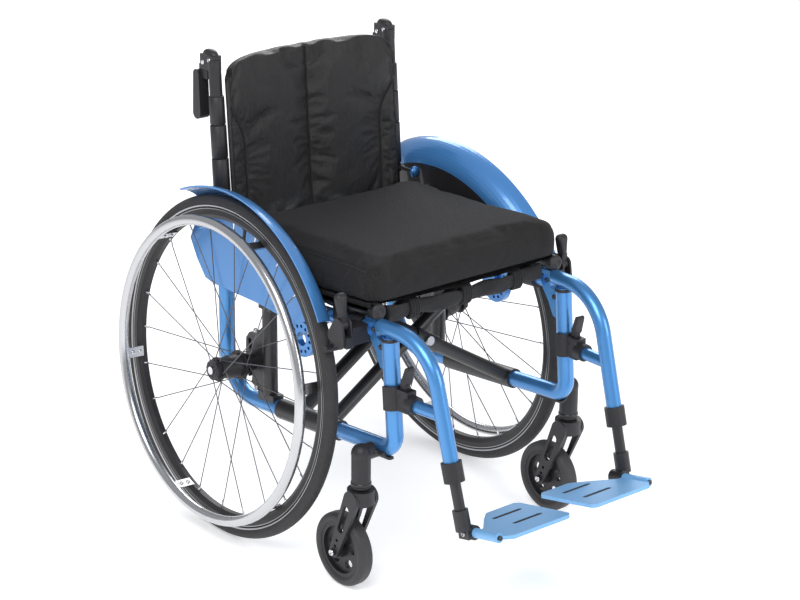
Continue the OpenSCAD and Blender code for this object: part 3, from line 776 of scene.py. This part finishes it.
class DressWheels(ChairStep, bpy.types.Operator):
    """Gives the wheels their rubber, rims, spokes, nipples and valves"""

    bl_idname = "chair.dress_wheels"
    bl_label = "Dress the wheels"

    def execute(self, context):
        c = self.colours
        nylon = finish_named("black moulded nylon", moulded, tuple(c.plastic))
        chrome = finish_named("bright chrome", bright, (0.72, 0.72, 0.74), 0.08, 0.0)
        polished = finish_named("polished aluminium", bright, (0.58, 0.58, 0.59), 0.14, 0.08)
        wire = finish_named("dark spoke steel", bright, (0.16, 0.16, 0.17), 0.32, 0.05)
        caster = finish_named("caster rubber", moulded, shade(c.tyre, 1.25), 0.56, 700.0)
        tyre, stripe, coat = tuple(c.tyre), tuple(c.stripe), tuple(c.coat)
        for side, way in SIDES:
            rubber = finish_named(f"tyre rubber, {side}", tyre_rubber, tyre, stripe, side)
            dress(f"tyre_{side}", rubber)
            dress(f"rim_{side}", finish_named(f"black rim, {side}", rim_metal, coat, side))
            dress(f"spokes_{side}", wire)
            dress(f"hub_{side}", nylon)
            dress(f"handrim_{side}", polished)
            dress(f"axle_button_{side}", chrome)
            dress(f"caster_tyre_{side}", caster)
            self.nipples(side, chrome)
            self.valve(side, nylon)
            self.tab_screws(side, chrome)
            self.hub_ring(side, nylon)
            self.caster_caps(side, way, chrome)
        return {"FINISHED"}

    def nipples(self, side, metal):
        """A nipple where each spoke meets the rim."""
        outline = [(0.0023, 0.0), (0.0022, 0.003), (0.0017, 0.0045), (0.0016, 0.011), (0.0009, 0.012)]
        mesh = bmesh.new()
        count = self.sizes.spokes
        for i in range(count):
            off = -0.0015 if i % 2 == 0 else 0.0015
            seat, inward = wheel_spot(side, 2 * math.pi * i / count, RIM_INNER - 0.0001, off)
            add_lathe(mesh, outline, seat, inward, 10)
        piece(f"nipples_{side}", mesh, metal, f"wheel_{side}")

    def valve(self, side, nylon):
        """Valve stem with its dust cap, midway between two spokes."""
        nut = [(0.0052, 0.0), (0.005, 0.002), (0.003, 0.0026)]
        stem = [(0.0028, 0.018), (0.0033, 0.0185)]
        cap = [(0.0033, 0.027), (0.0025, 0.029), (0, 0.0295)]
        mesh = bmesh.new()
        seat, inward = wheel_spot(side, math.radians(97.5), RIM_INNER + 0.0001)
        add_lathe(mesh, nut + stem + cap, seat, inward, 14)
        piece(f"valve_{side}", mesh, nylon, f"wheel_{side}")

    def tab_screws(self, side, metal):
        """Two screws through each handrim tab."""
        mesh = bmesh.new()
        for i in range(6):
            for off in (0.012, 0.026):
                seat, inward = wheel_spot(side, math.radians(110 - 60 * i), RIM_INNER - 0.0034, off)
                add_screw(mesh, seat, inward, 0.0036)
        piece(f"tab_screws_{side}", mesh, metal, f"wheel_{side}")

    def hub_ring(self, side, nylon):
        """Moulded ribs round the hub's outer cap, and the lip round its axle."""
        mesh = bmesh.new()
        rib = ((0.0166, 0.0275), (0.0172, 0.0295), (0.0165, 0.0315))
        for i in range(12):
            spots = [wheel_spot(side, 2 * math.pi * i / 12, radius, off)[0] for radius, off in rib]
            add_tube(mesh, spots, 0.0014, 6)
        place = wheel_matrix(side)
        lip = [(0.0108, 0.0320), (0.0112, 0.0328), (0.0128, 0.0330), (0.0134, 0.0320)]
        add_lathe(mesh, lip, place.translation, place.to_3x3() @ Vector((1, 0, 0)), 36)
        piece(f"hub_ribs_{side}", mesh, nylon, f"wheel_{side}")

    def caster_caps(self, side, way, metal):
        """The caster axle's hex head inside and its round nut outside."""
        outline = [(0.0056, -0.0006), (0.0056, 0.0002), (0.0048, 0.0012), (0.0030, 0.0016)]
        outline += [(0.0028, 0.0002), (0, 0)]
        mesh = bmesh.new()
        centre, _ = joint_place(f"caster_spin_{side}")
        low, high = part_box(f"fork_{side}")
        for x, normal in ((low.x, -1), (high.x, 1)):
            steps = 6 if normal * way < 0 else 24
            add_lathe(mesh, outline, Vector((x, centre.y, centre.z)), (normal, 0, 0), steps)
        piece(f"caster_bolt_{side}", mesh, metal, f"fork_{side}")


class SeatCushion(ChairStep, bpy.types.Operator):
    """Makes the seat cushion: foam in spacer mesh with sewn side seams"""

    bl_idname = "chair.seat_cushion"
    bl_label = "Make the seat cushion"

    def execute(self, context):
        low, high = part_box("cushion")
        half = (high.x - low.x) / 2 - 0.001
        front, rear = low.y + 0.0005, high.y + 0.004
        drop = math.tan(SEAT_SLOPE)
        bottom_front = low.z + (high.y - low.y) * drop
        edge = 0.018

        def rim(inset, steps=14):
            """The rounded plan, drawn in from the edge by inset."""
            points = []
            corners = (
                (half, front, -90, 0.026),
                (half, rear, 0, 0.022),
                (-half, rear, 90, 0.022),
                (-half, front, 180, 0.026),
            )
            for x, y, start, radius in corners:
                cx, cy = x - math.copysign(radius, x), y + (radius if y == front else -radius)
                for k in range(steps + 1):
                    a = math.radians(start + 90 * k / steps)
                    reach = max(radius - inset, 0.001)
                    points.append(Vector((cx + reach * math.cos(a), cy + reach * math.sin(a), 0)))
            return points

        def top(x, y):
            dome = 1 - abs(x / half) ** 3
            along = smoothstep(front, front + 0.06, y)
            fall = max(0.0, y - front - 0.02) * 0.0385
            return high.z - 0.0045 - fall + 0.0035 * dome * along

        def base(y):
            return bottom_front - (y - front) * drop

        middle = Vector((0, (front + rear) / 2, 0))
        profile = [(0.006, 0.0, "base"), (0.0015, 0.0015, "base"), (0.0, 0.006, "base")]
        profile += [(-0.0012, f, "wall") for f in (0.35, 0.65)]
        for k in range(7):
            a = math.radians(15 * k)
            profile.append((edge * (1 - math.cos(a)), edge * (1 - math.sin(a)), "top"))
        mesh = bmesh.new()
        rings = []

        def ring(points, height):
            rings.append([mesh.verts.new((p.x, p.y, height(p))) for p in points])

        for part in (0.02, 0.35, 0.7):
            ring([middle.lerp(p, part) for p in rim(0.006)], lambda p: base(p.y))
        for inset, rise, kind in profile:
            points = rim(inset)
            if kind == "base":
                ring(points, lambda p: base(p.y) + rise)
            elif kind == "wall":
                wall = lambda p: top(p.x, p.y) - base(p.y) - edge - 0.006
                ring(points, lambda p: base(p.y) + 0.006 + wall(p) * rise)
            else:
                ring(points, lambda p: top(p.x, p.y) - rise)
        for part in (0.9, 0.75, 0.6, 0.45, 0.3, 0.15, 0.02):
            ring([middle.lerp(p, part) for p in rim(edge)], lambda p: top(p.x, p.y))
        bridge(mesh, rings)
        cloth = finish_named("black spacer mesh", spacer_mesh, tuple(self.colours.cushion))
        cushion = piece("seat_cushion", mesh, cloth, None)
        self.remesh(cushion, 0.005)
        under = [v.index for v in cushion.data.vertices if v.co.z < base(v.co.y) + 0.004]
        swell(cushion, under, 2.0, 0.006, self.sizes.cushion_puff)
        for v in cushion.data.vertices:
            v.co.z = max(v.co.z, base(v.co.y) + 0.0002)
        self.press_seams(cushion, low, half, front)
        subdivide(cushion)
        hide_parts("cushion")
        self.welts(cushion, low, half, front, rear)
        hang_between_rails(cushion)
        return {"FINISHED"}

    def remesh(self, obj, voxel):
        """Gives the cushion even faces, for the cloth to move."""
        modifier = obj.modifiers.new("even", "REMESH")
        modifier.mode = "VOXEL"
        modifier.voxel_size = voxel
        shaped = obj.evaluated_get(bpy.context.evaluated_depsgraph_get())
        material = obj.data.materials[0]
        data = bpy.data.meshes.new_from_object(shaped)
        obj.modifiers.clear()
        obj.data = data
        if not data.materials:
            data.materials.append(material)
        data.shade_smooth()

    def seam_height(self, y, low):
        """Height of the side seam, falling with the seat."""
        return 0.5405 - (y - low.y) * 0.052

    def press_seams(self, cushion, low, half, front):
        """Draws the cover in along the side seams and down the front corners."""
        for v in cushion.data.vertices:
            z = self.seam_height(v.co.y, low)
            side = smoothstep(half * 0.80, half * 0.97, abs(v.co.x))
            near = math.exp(-(((v.co.z - z) / 0.0045) ** 2))
            v.co.x -= math.copysign(0.0022 * near * side, v.co.x)
            corner = math.exp(-(((abs(v.co.x) - half * 0.955) / 0.004) ** 2))
            corner *= v.co.y < front + 0.03
            v.co.y += 0.0016 * corner * (v.co.z < z)

    def welts(self, cushion, low, half, front, rear):
        """Lays a welt and a row of stitches on each side seam, and a welt on each front corner."""
        tree = surface_of(cushion)
        thread = finish_named("black sewing thread", webbing, shade(self.colours.cushion, 0.8))
        mesh = bmesh.new()
        for way in (-1, 1):
            starts = []
            for k in range(61):
                y = front + 0.022 + (rear - front - 0.035) * k / 60
                starts.append(Vector((way * 0.30, y, self.seam_height(y, low))))
            path = laid_on(tree, starts, Vector((-way, 0, 0)), 0.0002)
            if len(path) > 4:
                add_tube(mesh, path, self.sizes.welt * 0.75, 8)
                self.stitches(mesh, [p + Vector((0, 0, -0.004)) for p in path], Vector((way, 0, 0)))
            x = way * half * 0.955
            starts = [Vector((x, front - 0.1, 0.539 - 0.041 * k / 12)) for k in range(13)]
            path = laid_on(tree, starts, Vector((0, 1, 0)), 0.0002)
            if len(path) > 4:
                add_tube(mesh, path, self.sizes.welt * 0.6, 8)
        welt = piece("cushion_welts", mesh, thread, None)
        hang_between_rails(welt)

    def stitches(self, mesh, path, outward):
        """A short thread between each two points of a path, sunk a little into the cloth."""
        for one, two in zip(path, path[1:]):
            ends = [one.lerp(two, part) - outward * 0.0002 for part in (0.15, 0.75)]
            add_tube(mesh, ends, 0.00035, 5)


class BackUpholstery(ChairStep, bpy.types.Operator):
    """Makes the back upholstery: two puffed middle panels and curved side panels"""

    bl_idname = "chair.back_upholstery"
    bl_label = "Make the back upholstery"

    def seam_x(self, z):
        """Half width of the middle panels at height z: upright low down, sweeping out to the edge."""
        spread = smoothstep(self.sweep, self.sweep + 0.10, z) ** 1.5
        return self.inner + (self.half + 0.004 - self.inner) * spread

    def execute(self, context):
        low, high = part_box("backrest")
        low.z -= 0.014
        self.low, self.high = low, high
        self.half = (high.x - low.x) / 2 - 0.002
        self.inner = self.half - 0.034
        self.sweep = low.z + 0.139
        height = high.z - low.z
        columns, rows = 118, 92
        mesh = bmesh.new()

        def middle(x, z):
            """The band's middle surface."""
            sag = 0.027 * (1 - (x / self.half) ** 2)
            return low.y + 0.0145 + (z - low.z) * math.tan(BACK_LEAN) + sag

        def reach(x, z):
            """Distance to the nearest seam or edge."""
            edges = [self.half - abs(x), z - low.z, (high.z - z) * 1.6]
            seams = [abs(x), abs(abs(x) - self.seam_x(z)) * 0.9]
            return max(0.0, min(edges + seams))

        grids = []
        for way in (-1, 1):
            grid = []
            for j in range(rows + 1):
                line = []
                for i in range(columns + 1):
                    s = math.sin(math.pi / 2 * (2 * i / columns - 1) * 0.999)
                    t = j / rows
                    corner = smoothstep(0.86, 1.0, t) * 0.022 * abs(s) ** 6
                    x = s * (self.half - corner * 0.5)
                    z = low.z + 0.002 + (height - 0.006) * t - corner * 0.8
                    edge = min(1.0, min(self.half - abs(x), z - low.z + 0.001, high.z - z) / 0.010)
                    edge = math.sqrt(max(0.0, 1 - (1 - edge) ** 2))
                    quilt = 1 - math.exp(-reach(x, z) / 0.014)
                    full = 0.0060 * edge + 0.0070 * quilt * (1 if way < 0 else 0.25)
                    y = middle(x, z) + way * full
                    line.append(Vector((x, y, z)))
                grid.append(line)
            grids.append(grid)
        verts = [[[mesh.verts.new(p) for p in line] for line in grid] for grid in grids]
        fill_grid(mesh, verts[0])
        fill_grid(mesh, verts[1], flip=True)
        rim = (
            [(0, i) for i in range(columns + 1)]
            + [(j, columns) for j in range(1, rows + 1)]
            + [(rows, i) for i in range(columns - 1, -1, -1)]
            + [(j, 0) for j in range(rows - 1, 0, -1)]
        )
        for (j0, i0), (j1, i1) in zip(rim, rim[1:] + rim[:1]):
            mesh.faces.new((verts[0][j1][i1], verts[0][j0][i0], verts[1][j0][i0], verts[1][j1][i1]))
        nylon = finish_named("black quilted nylon", soft_nylon, tuple(self.colours.back))
        back = piece("back_upholstery", mesh, nylon, None)
        per_side = (columns + 1) * (rows + 1)
        sewn = [
            v.index
            for v in back.data.vertices
            if v.index >= per_side or reach(v.co.x, v.co.z) < 0.0035
        ]
        swell(back, sewn, 2.0, 0.035, self.sizes.back_puff, 22)
        self.creases(back, reach)
        subdivide(back)
        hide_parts("backrest")
        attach(back, "right_side")
        self.piping(back)
        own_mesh(back)
        return {"FINISHED"}

    def creases(self, back, reach):
        """Gathers that run out of the seams, deepest beside the middle seam and the side panels."""
        for v in back.data.vertices:
            x, z = abs(v.co.x), v.co.z
            d = reach(v.co.x, z)
            if d <= 0.0:
                continue
            drift = noise.noise(Vector((v.co.x * 9, 0.3, z * 9)))
            ripple = math.sin((z - x * 0.9) / 0.0135 + 2.2 * drift)
            depth = 0.0030 * math.exp(-x / 0.060) * smoothstep(0.0, 0.006, d)
            gather = max(0.0, ripple) ** 2 * depth
            drift = noise.noise(Vector((v.co.x * 11, 1.7, z * 11)))
            ripple = math.sin((z + x * 0.5) / 0.0115 + 1.8 * drift)
            depth = 0.0024 * math.exp(-abs(x - self.seam_x(z)) / 0.020) * smoothstep(0.0, 0.004, d)
            gather += max(0.0, ripple) ** 2 * depth
            broad = noise.noise(Vector((v.co.x * 13, 5.1, z * 9))) * 0.0022 * smoothstep(0.0, 0.01, d)
            v.co.y -= gather + broad

    def piping(self, back):
        """Cords along the double middle seam, the curved side seams and the outer edges."""
        tree = surface_of(back)
        cord = finish_named("black piping", webbing, shade(self.colours.back, 0.75))
        mesh = bmesh.new()
        front = Vector((0, 1, 0))
        start_y = self.low.y - 0.15
        r = self.sizes.welt
        z0, z1 = self.low.z + 0.008, self.high.z - 0.008
        for shift in (-0.0022, 0.0022):
            points = [Vector((shift, start_y, z0 + (z1 - z0) * k / 80)) for k in range(81)]
            add_tube(mesh, laid_on(tree, points, front, r * 0.3), r, 8)
        for way in (-1, 1):
            points = []
            for k in range(91):
                z = z0 + (z1 - z0) * k / 90
                x = self.seam_x(z)
                if x > self.half - 0.004:
                    break
                points.append(Vector((way * x, start_y, z)))
            add_tube(mesh, laid_on(tree, points, front, r * 0.3), r * 1.15, 8)
            x, tall = way * (self.half - 0.0045), z1 - z0 - 0.02
            points = [Vector((x, start_y, z0 + tall * k / 90)) for k in range(91)]
            add_tube(mesh, laid_on(tree, points, front, 0.0), r * 0.9, 8)
        piping = piece("back_piping", mesh, cord, "right_side")
        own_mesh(piping)


class SeatSling(ChairStep, bpy.types.Operator):
    """Makes the sling cloth on the seat rails and the gathered band along its front"""

    bl_idname = "chair.seat_sling"
    bl_label = "Make the seat sling"

    def execute(self, context):
        low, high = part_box("seat_sling")
        cloth = finish_named("black sling webbing", webbing, (0.014, 0.0135, 0.015))
        drop = math.tan(SEAT_SLOPE)
        half = high.x - 0.0012
        top = high.z
        flap = 0.012
        columns, rows = 72, 44
        length = high.y - low.y

        def surface(u, v):
            y = low.y + length * v
            base = top - 0.0011 - (y - low.y) * drop
            run = u * (half + flap)
            if abs(run) > half:
                return Vector((math.copysign(half, run), y, base - (abs(run) - half)))
            sag = 0.008 * (1 - (run / half) ** 2) * (0.75 + 0.25 * math.cos(v * 6.0))
            ripple = 0.0012 * math.sin(v * 40 + 3 * noise.noise(Vector((u * 4, v * 3, 0.2)))) * (1 - u * u)
            return Vector((run, y, base - sag + ripple))

        mesh = bmesh.new()
        across = [2 * i / columns - 1 for i in range(columns + 1)]
        fill_grid(mesh, [[mesh.verts.new(surface(u, j / rows)) for u in across] for j in range(rows + 1)])
        bmesh.ops.solidify(mesh, geom=mesh.faces[:], thickness=0.0011)
        sling = piece("sling_cloth", mesh, cloth, None)
        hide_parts("seat_sling")
        hang_between_rails(sling)
        self.front_band(low, high, cloth)
        return {"FINISHED"}

    def front_band(self, low, high, cloth):
        """A folded band under the front edge, hitched up at the middle and bellied between."""
        mesh = bmesh.new()
        half = 0.168
        line, hang = low.y + 0.010, high.z - 0.024
        columns, turns = 96, 14
        rings = []
        for i in range(columns + 1):
            u = 2 * i / columns - 1
            x = u * half
            belly = abs(math.sin(u * math.pi * 1.5)) ** 0.7
            tall = 0.0085 + 0.0055 * belly
            deep = 0.0045 + 0.0035 * belly + 0.0012 * noise.noise(Vector((x * 40, 0.7, 0)))
            y = line + 0.003 * math.sin(u * 9)
            z = hang - 0.0065 * (1 - u * u) - 0.002 * belly
            ring = []
            for k in range(turns):
                a = 2 * math.pi * k / turns
                crease = 1 + 0.10 * math.sin(3 * a + u * 14)
                out, up = deep * math.cos(a) * crease, tall * math.sin(a) * crease
                ring.append(mesh.verts.new((x, y + out, z + up)))
            rings.append(ring)
        bridge(mesh, rings)
        for x in (-0.112, 0.0, 0.112):
            for shift in (-0.0075, -0.0025, 0.0025, 0.0075):
                loop = []
                for k in range(24):
                    a = 2 * math.pi * k / 24
                    out, up = 0.0095 * math.cos(a), 0.0155 * math.sin(a)
                    loop.append(Vector((x + shift, line + out, hang - 0.005 + up)))
                add_tube(mesh, loop, 0.0026, 6, closed=True)
        band_piece = piece("sling_front_band", mesh, cloth, None)
        hang_between_rails(band_piece)


class Hardware(ChairStep, bpy.types.Operator):
    """Adds screws, rivets, end caps and ribs that the frame's pieces carry"""

    bl_idname = "chair.hardware"
    bl_label = "Add the hardware"

    def execute(self, context):
        steel = finish_named("zinc plated steel", bright, (0.50, 0.50, 0.52), 0.28, 0.1)
        black = finish_named("black screws", powder, tuple(self.colours.coat), 0.3)
        nylon = finish_named("black moulded nylon", moulded, tuple(self.colours.plastic))
        chrome = finish_named("bright chrome", bright, (0.72, 0.72, 0.74), 0.08, 0.0)
        for side, way in SIDES:
            body = f"{side}_side"
            self.post_rivets(side, chrome, body)
            self.post_sleeves(side, nylon, body)
            self.frame_screws(side, way, black, steel, body)
            self.rail_cap(side, nylon)
            self.leg_rings(side, way, nylon, steel)
            self.knob_cap(side, way, chrome, body)
            self.grip_strips(side, way)
        return {"FINISHED"}

    def grip_strips(self, side, way):
        """Ribbed rubber strips let into the footplate's slots."""
        rubber = finish_named("grip strip rubber", moulded, (0.030, 0.034, 0.042), 0.6, 600.0)
        hinge, _ = joint_place(f"footplate_flip_{side}")
        place = Matrix.Translation(hinge) @ Matrix.Rotation(-PLATE_TILT, 4, "X")
        mesh = bmesh.new()
        for along in (0.027, -0.022):
            outline = []
            for end in (1, -1):
                for k in range(9):
                    a = math.radians(90 - 180 * k / 8)
                    outline.append((end * (0.0268 + 0.0041 * math.cos(a)), end * 0.0041 * math.sin(a)))
            tops, bases = [], []
            for x, y in outline:
                tops.append(mesh.verts.new(place @ Vector((x - way * 0.088, y + along, 0.0026))))
                bases.append(mesh.verts.new(place @ Vector((x - way * 0.088, y + along, -0.0020))))
            mesh.faces.new(tops)
            mesh.faces.new(list(reversed(bases)))
            for k in range(len(tops)):
                n = (k + 1) % len(tops)
                mesh.faces.new((tops[k], bases[k], bases[n], tops[n]))
            for k in range(-6, 7):
                x = k * 0.0042 - way * 0.088
                ends = [place @ Vector((x, along + y, 0.0026)) for y in (-0.0030, 0.0030)]
                add_tube(mesh, ends, 0.0007, 6)
        piece(f"grip_strips_{side}", mesh, rubber, f"footplate_{side}", smooth=False)

    def post_axis(self, side, z):
        """The middle of the back post at height z: upright up to the knee, then leaning back."""
        pivot, _ = joint_place(f"push_handle_fold_{side}")
        foot_y = pivot.y - 0.044
        if z <= KNEE_HEIGHT:
            return Vector((pivot.x, foot_y, z))
        return Vector((pivot.x, foot_y + (z - KNEE_HEIGHT) * math.tan(BACK_LEAN), z))

    def post_rivets(self, side, metal, body):
        """Rivet heads on both cheeks of the handle's fork."""
        head = [(0.0042, -0.0006), (0.0042, 0.0006), (0.0034, 0.0014), (0, 0.0018)]
        mesh = bmesh.new()
        pivot, _ = joint_place(f"push_handle_fold_{side}")
        for direction in (-1, 1):
            for back, up in ((0.0, 0.0), (-0.019, 0.006)):
                at = pivot + Vector((direction * 0.0092, back, up))
                add_lathe(mesh, head, at, (direction, 0, 0), 20)
        piece(f"handle_rivets_{side}", mesh, metal, body)

    def post_sleeves(self, side, nylon, body):
        """Stepped sleeves down the post and a domed cap over its top."""
        post_r = 0.0112
        mesh = bmesh.new()
        up = Vector((0, math.sin(BACK_LEAN), math.cos(BACK_LEAN)))
        for z, height, radius in ((0.560, 0.074, 0.0150), (0.6355, 0.056, 0.0143), (0.693, 0.048, 0.0136)):
            foot = [(post_r, 0.0), (radius - 0.0008, 0.0), (radius, 0.0008)]
            head = [(radius - 0.0003, height - 0.001), (radius - 0.0011, height), (post_r, height)]
            add_lathe(mesh, foot + head, self.post_axis(side, z), up, 32)
        piece(f"post_sleeves_{side}", mesh, nylon, body)
        mesh = bmesh.new()
        _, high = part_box(f"back_post_{side}")
        top = self.post_axis(side, 0.80)
        rings = []
        for k in range(9):
            a = math.pi / 2 * k / 8
            wide, long, tall = 0.0098 * math.cos(a) ** 0.6, 0.0185 * math.cos(a) ** 0.8, 0.0105 * math.sin(a)
            ring = []
            for i in range(28):
                b = 2 * math.pi * i / 28
                x, y = top.x + wide * math.cos(b), top.y + 0.010 + long * math.sin(b)
                ring.append(mesh.verts.new((x, y, high.z - 0.0015 + tall)))
            rings.append(ring)
        bridge(mesh, rings, ends=(True, False))
        bmesh.ops.remove_doubles(mesh, verts=mesh.verts, dist=0.00002)
        piece(f"post_cap_{side}", mesh, nylon, body)

    def frame_screws(self, side, way, black, steel, body):
        """The carrier's, bracket's and caster housing's screws, and the housing's bearing ring."""
        r = self.sizes.screw
        dark, light = bmesh.new(), bmesh.new()
        frame_low, frame_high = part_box(f"frame_{side}")
        tube_x = (frame_low.x + frame_high.x) / 2
        hub, _ = joint_place(f"wheel_spin_{side}")
        for z in (hub.z + 0.058, hub.z - 0.046):
            for mesh, direction in ((light, way), (dark, -way)):
                at = Vector((tube_x + direction * 0.0092, hub.y - 0.012, z))
                add_screw(mesh, at, (direction, 0, 0), r * 1.1)
        for back, z in ((0.062, 0.449), (0.043, 0.424)):
            for direction in (-1, 1):
                at = Vector((tube_x + direction * 0.0062, frame_low.y + back, z))
                add_screw(dark, at, (direction, 0, 0), r)
        house_low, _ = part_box(f"caster_housing_{side}")
        swivel, _ = joint_place(f"caster_swivel_{side}")
        at = swivel + Vector((-way * 0.020, -0.0138, 0.060))
        add_screw(dark, at, (0, -1, 0), r * 0.9)
        ring = [(0.0162, 0.0), (0.0172, 0.001), (0.0172, 0.005), (0.0162, 0.006)]
        add_lathe(dark, ring, Vector((swivel.x, swivel.y, house_low.z + 0.004)), (0, 0, 1), 40)
        piece(f"black_screws_{side}", dark, black, body)
        piece(f"steel_screws_{side}", light, steel, body)

    def rail_cap(self, side, nylon):
        """Stepped plug on the front end of the seat rail."""
        low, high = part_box(f"seat_rail_{side}")
        mesh = bmesh.new()
        centre = Vector(((low.x + high.x) / 2, low.y + 0.0008, high.z - 0.0116))
        ahead = Vector((0, -math.cos(SEAT_SLOPE), math.sin(SEAT_SLOPE)))
        skirt = [(0.0100, -0.012), (0.0128, -0.012), (0.0134, -0.010), (0.0134, 0.001)]
        face = [(0.0126, 0.0035), (0.0100, 0.0052), (0.0070, 0.0050), (0.0062, 0.0040), (0, 0.0040)]
        add_lathe(mesh, skirt + face, centre, ahead, 36)
        body = "brace_rear" if side == "left" else "brace_front"
        piece(f"rail_cap_{side}", mesh, nylon, body)

    def leg_rings(self, side, way, nylon, steel):
        """Collar ring where the legrest turns on the frame, and the height screw on the foot tube."""
        mesh = bmesh.new()
        pivot, axis = joint_place(f"legrest_swing_{side}")
        up = Vector((0, abs(axis.y), abs(axis.z)))
        ring = [(0.0142, -0.0012), (0.0152, -0.0006), (0.0152, 0.0040), (0.0142, 0.0046)]
        add_lathe(mesh, ring, pivot, up, 40)
        piece(f"pivot_ring_{side}", mesh, nylon, f"{side}_side")
        mesh = bmesh.new()
        hinge, _ = joint_place(f"footplate_flip_{side}")
        add_screw(mesh, hinge + Vector((way * 0.0142, 0.016, -0.003)), (way, 0, 0), 0.0046)
        piece(f"foot_screw_{side}", mesh, steel, f"foot_tube_{side}")

    def knob_cap(self, side, way, chrome, body):
        """Chrome pin and painted knob of the side guard's holder, ahead of the post."""
        hub, _ = joint_place(f"wheel_spin_{side}")
        pivot, _ = joint_place(f"push_handle_fold_{side}")
        blue = finish_named("blue disc paint", painted, tuple(self.colours.guard))
        centre = Vector((pivot.x + way * 0.0072, hub.y + 0.0385, 0.552))
        pin = [(0.0038, -0.034), (0.0041, -0.033), (0.0041, -0.004), (0.0062, -0.003), (0.0062, -0.001)]
        mesh = bmesh.new()
        add_lathe(mesh, pin, centre, (0, -1, 0), 24)
        piece(f"guard_pin_{side}", mesh, chrome, body)
        knob = [(0.0060, -0.0038), (0.0095, -0.0034), (0.0103, -0.002), (0.0103, 0.002)]
        knob += [(0.0092, 0.0036), (0, 0.0050)]
        mesh = bmesh.new()
        add_lathe(mesh, knob, centre, (0, -1, 0), 28)
        piece(f"guard_knob_{side}", mesh, blue, body)


class Stage(ChairStep, bpy.types.Operator):
    """Sets the pale floor, soft studio light and the camera"""

    bl_idname = "chair.stage"
    bl_label = "Set the stage"

    def execute(self, context):
        scene = bpy.context.scene
        mesh = bmesh.new()
        bmesh.ops.create_grid(mesh, x_segments=2, y_segments=2, size=30)
        ground = piece("studio_floor", mesh, finish_named("studio floor", soft_floor), None)
        ground.location.z = -0.0002
        world = bpy.data.worlds.new("studio")
        world.use_nodes = True
        world.node_tree.nodes["Background"].inputs[0].default_value = (0.93, 0.95, 1.0, 1)
        world.node_tree.nodes["Background"].inputs[1].default_value = 0.50
        scene.world = world
        scene.view_settings.view_transform = "Standard"
        scene.view_settings.look = "None"
        self.softbox("key softbox", (-2.2, -1.6, 3.2), (0, 0, 0.4), 2.2, 95)
        self.softbox("rear softbox", (2.4, 2.6, 2.6), (0, 0, 0.5), 2.0, 60)
        self.softbox("front softbox", (1.4, -3.4, 1.6), (0, 0, 0.35), 1.6, 34)
        camera = bpy.data.cameras.new("camera")
        camera.lens = 98.47
        camera.sensor_width = 36.0
        camera.shift_x = 0.0031
        camera.shift_y = -0.0073
        camera.clip_end = 100
        view = bpy.data.objects.new("camera", camera)
        scene.collection.objects.link(view)
        yaw, pitch, roll = math.radians(39.81), math.radians(-19.78), 0.008
        ahead = Vector((math.sin(yaw) * math.cos(pitch), math.cos(yaw) * math.cos(pitch), math.sin(pitch)))
        aim = ahead.to_track_quat("-Z", "Y").to_matrix()
        view.rotation_euler = (aim @ Matrix.Rotation(roll, 3, "Z")).to_euler()
        view.location = (-2.2472, -2.6871, 1.6774)
        scene.camera = view
        return {"FINISHED"}

    def softbox(self, name, at, aim, size, power):
        light = bpy.data.lights.new(name, "AREA")
        light.shape = "SQUARE"
        light.size = size
        light.energy = power
        lamp = bpy.data.objects.new(name, light)
        lamp.location = at
        lamp.rotation_euler = (Vector(aim) - Vector(at)).to_track_quat("-Z", "Y").to_euler()
        bpy.context.scene.collection.objects.link(lamp)


STEPS = (PaintFrame, DressWheels, SeatCushion, BackUpholstery, SeatSling, Hardware, Stage)


class ChairPanel(bpy.types.Panel):
    """Lists the building steps and what they use"""

    bl_idname = "VIEW3D_PT_chair"
    bl_label = "Wheelchair"
    bl_space_type = "VIEW_3D"
    bl_region_type = "UI"
    bl_category = "Wheelchair"

    def draw(self, context):
        for group in (context.scene.chair_sizes, context.scene.chair_colours):
            for key in group.__annotations__:
                self.layout.prop(group, key)
        for step in STEPS:
            self.layout.operator(step.bl_idname)


CLASSES = (ChairSizes, ChairColours, *STEPS, ChairPanel)


def register():
    for cls in CLASSES:
        bpy.utils.register_class(cls)
    bpy.types.Scene.chair_sizes = PointerProperty(type=ChairSizes)
    bpy.types.Scene.chair_colours = PointerProperty(type=ChairColours)


def unregister():
    del bpy.types.Scene.chair_colours
    del bpy.types.Scene.chair_sizes
    for cls in reversed(CLASSES):
        bpy.utils.unregister_class(cls)


def corners(box):
    return [list(corner) for corner in box]


def main():
    register()
    for step in STEPS:
        group, name = step.bl_idname.split(".")
        getattr(getattr(bpy.ops, group), name)()


if __name__ == "__main__":
    main()
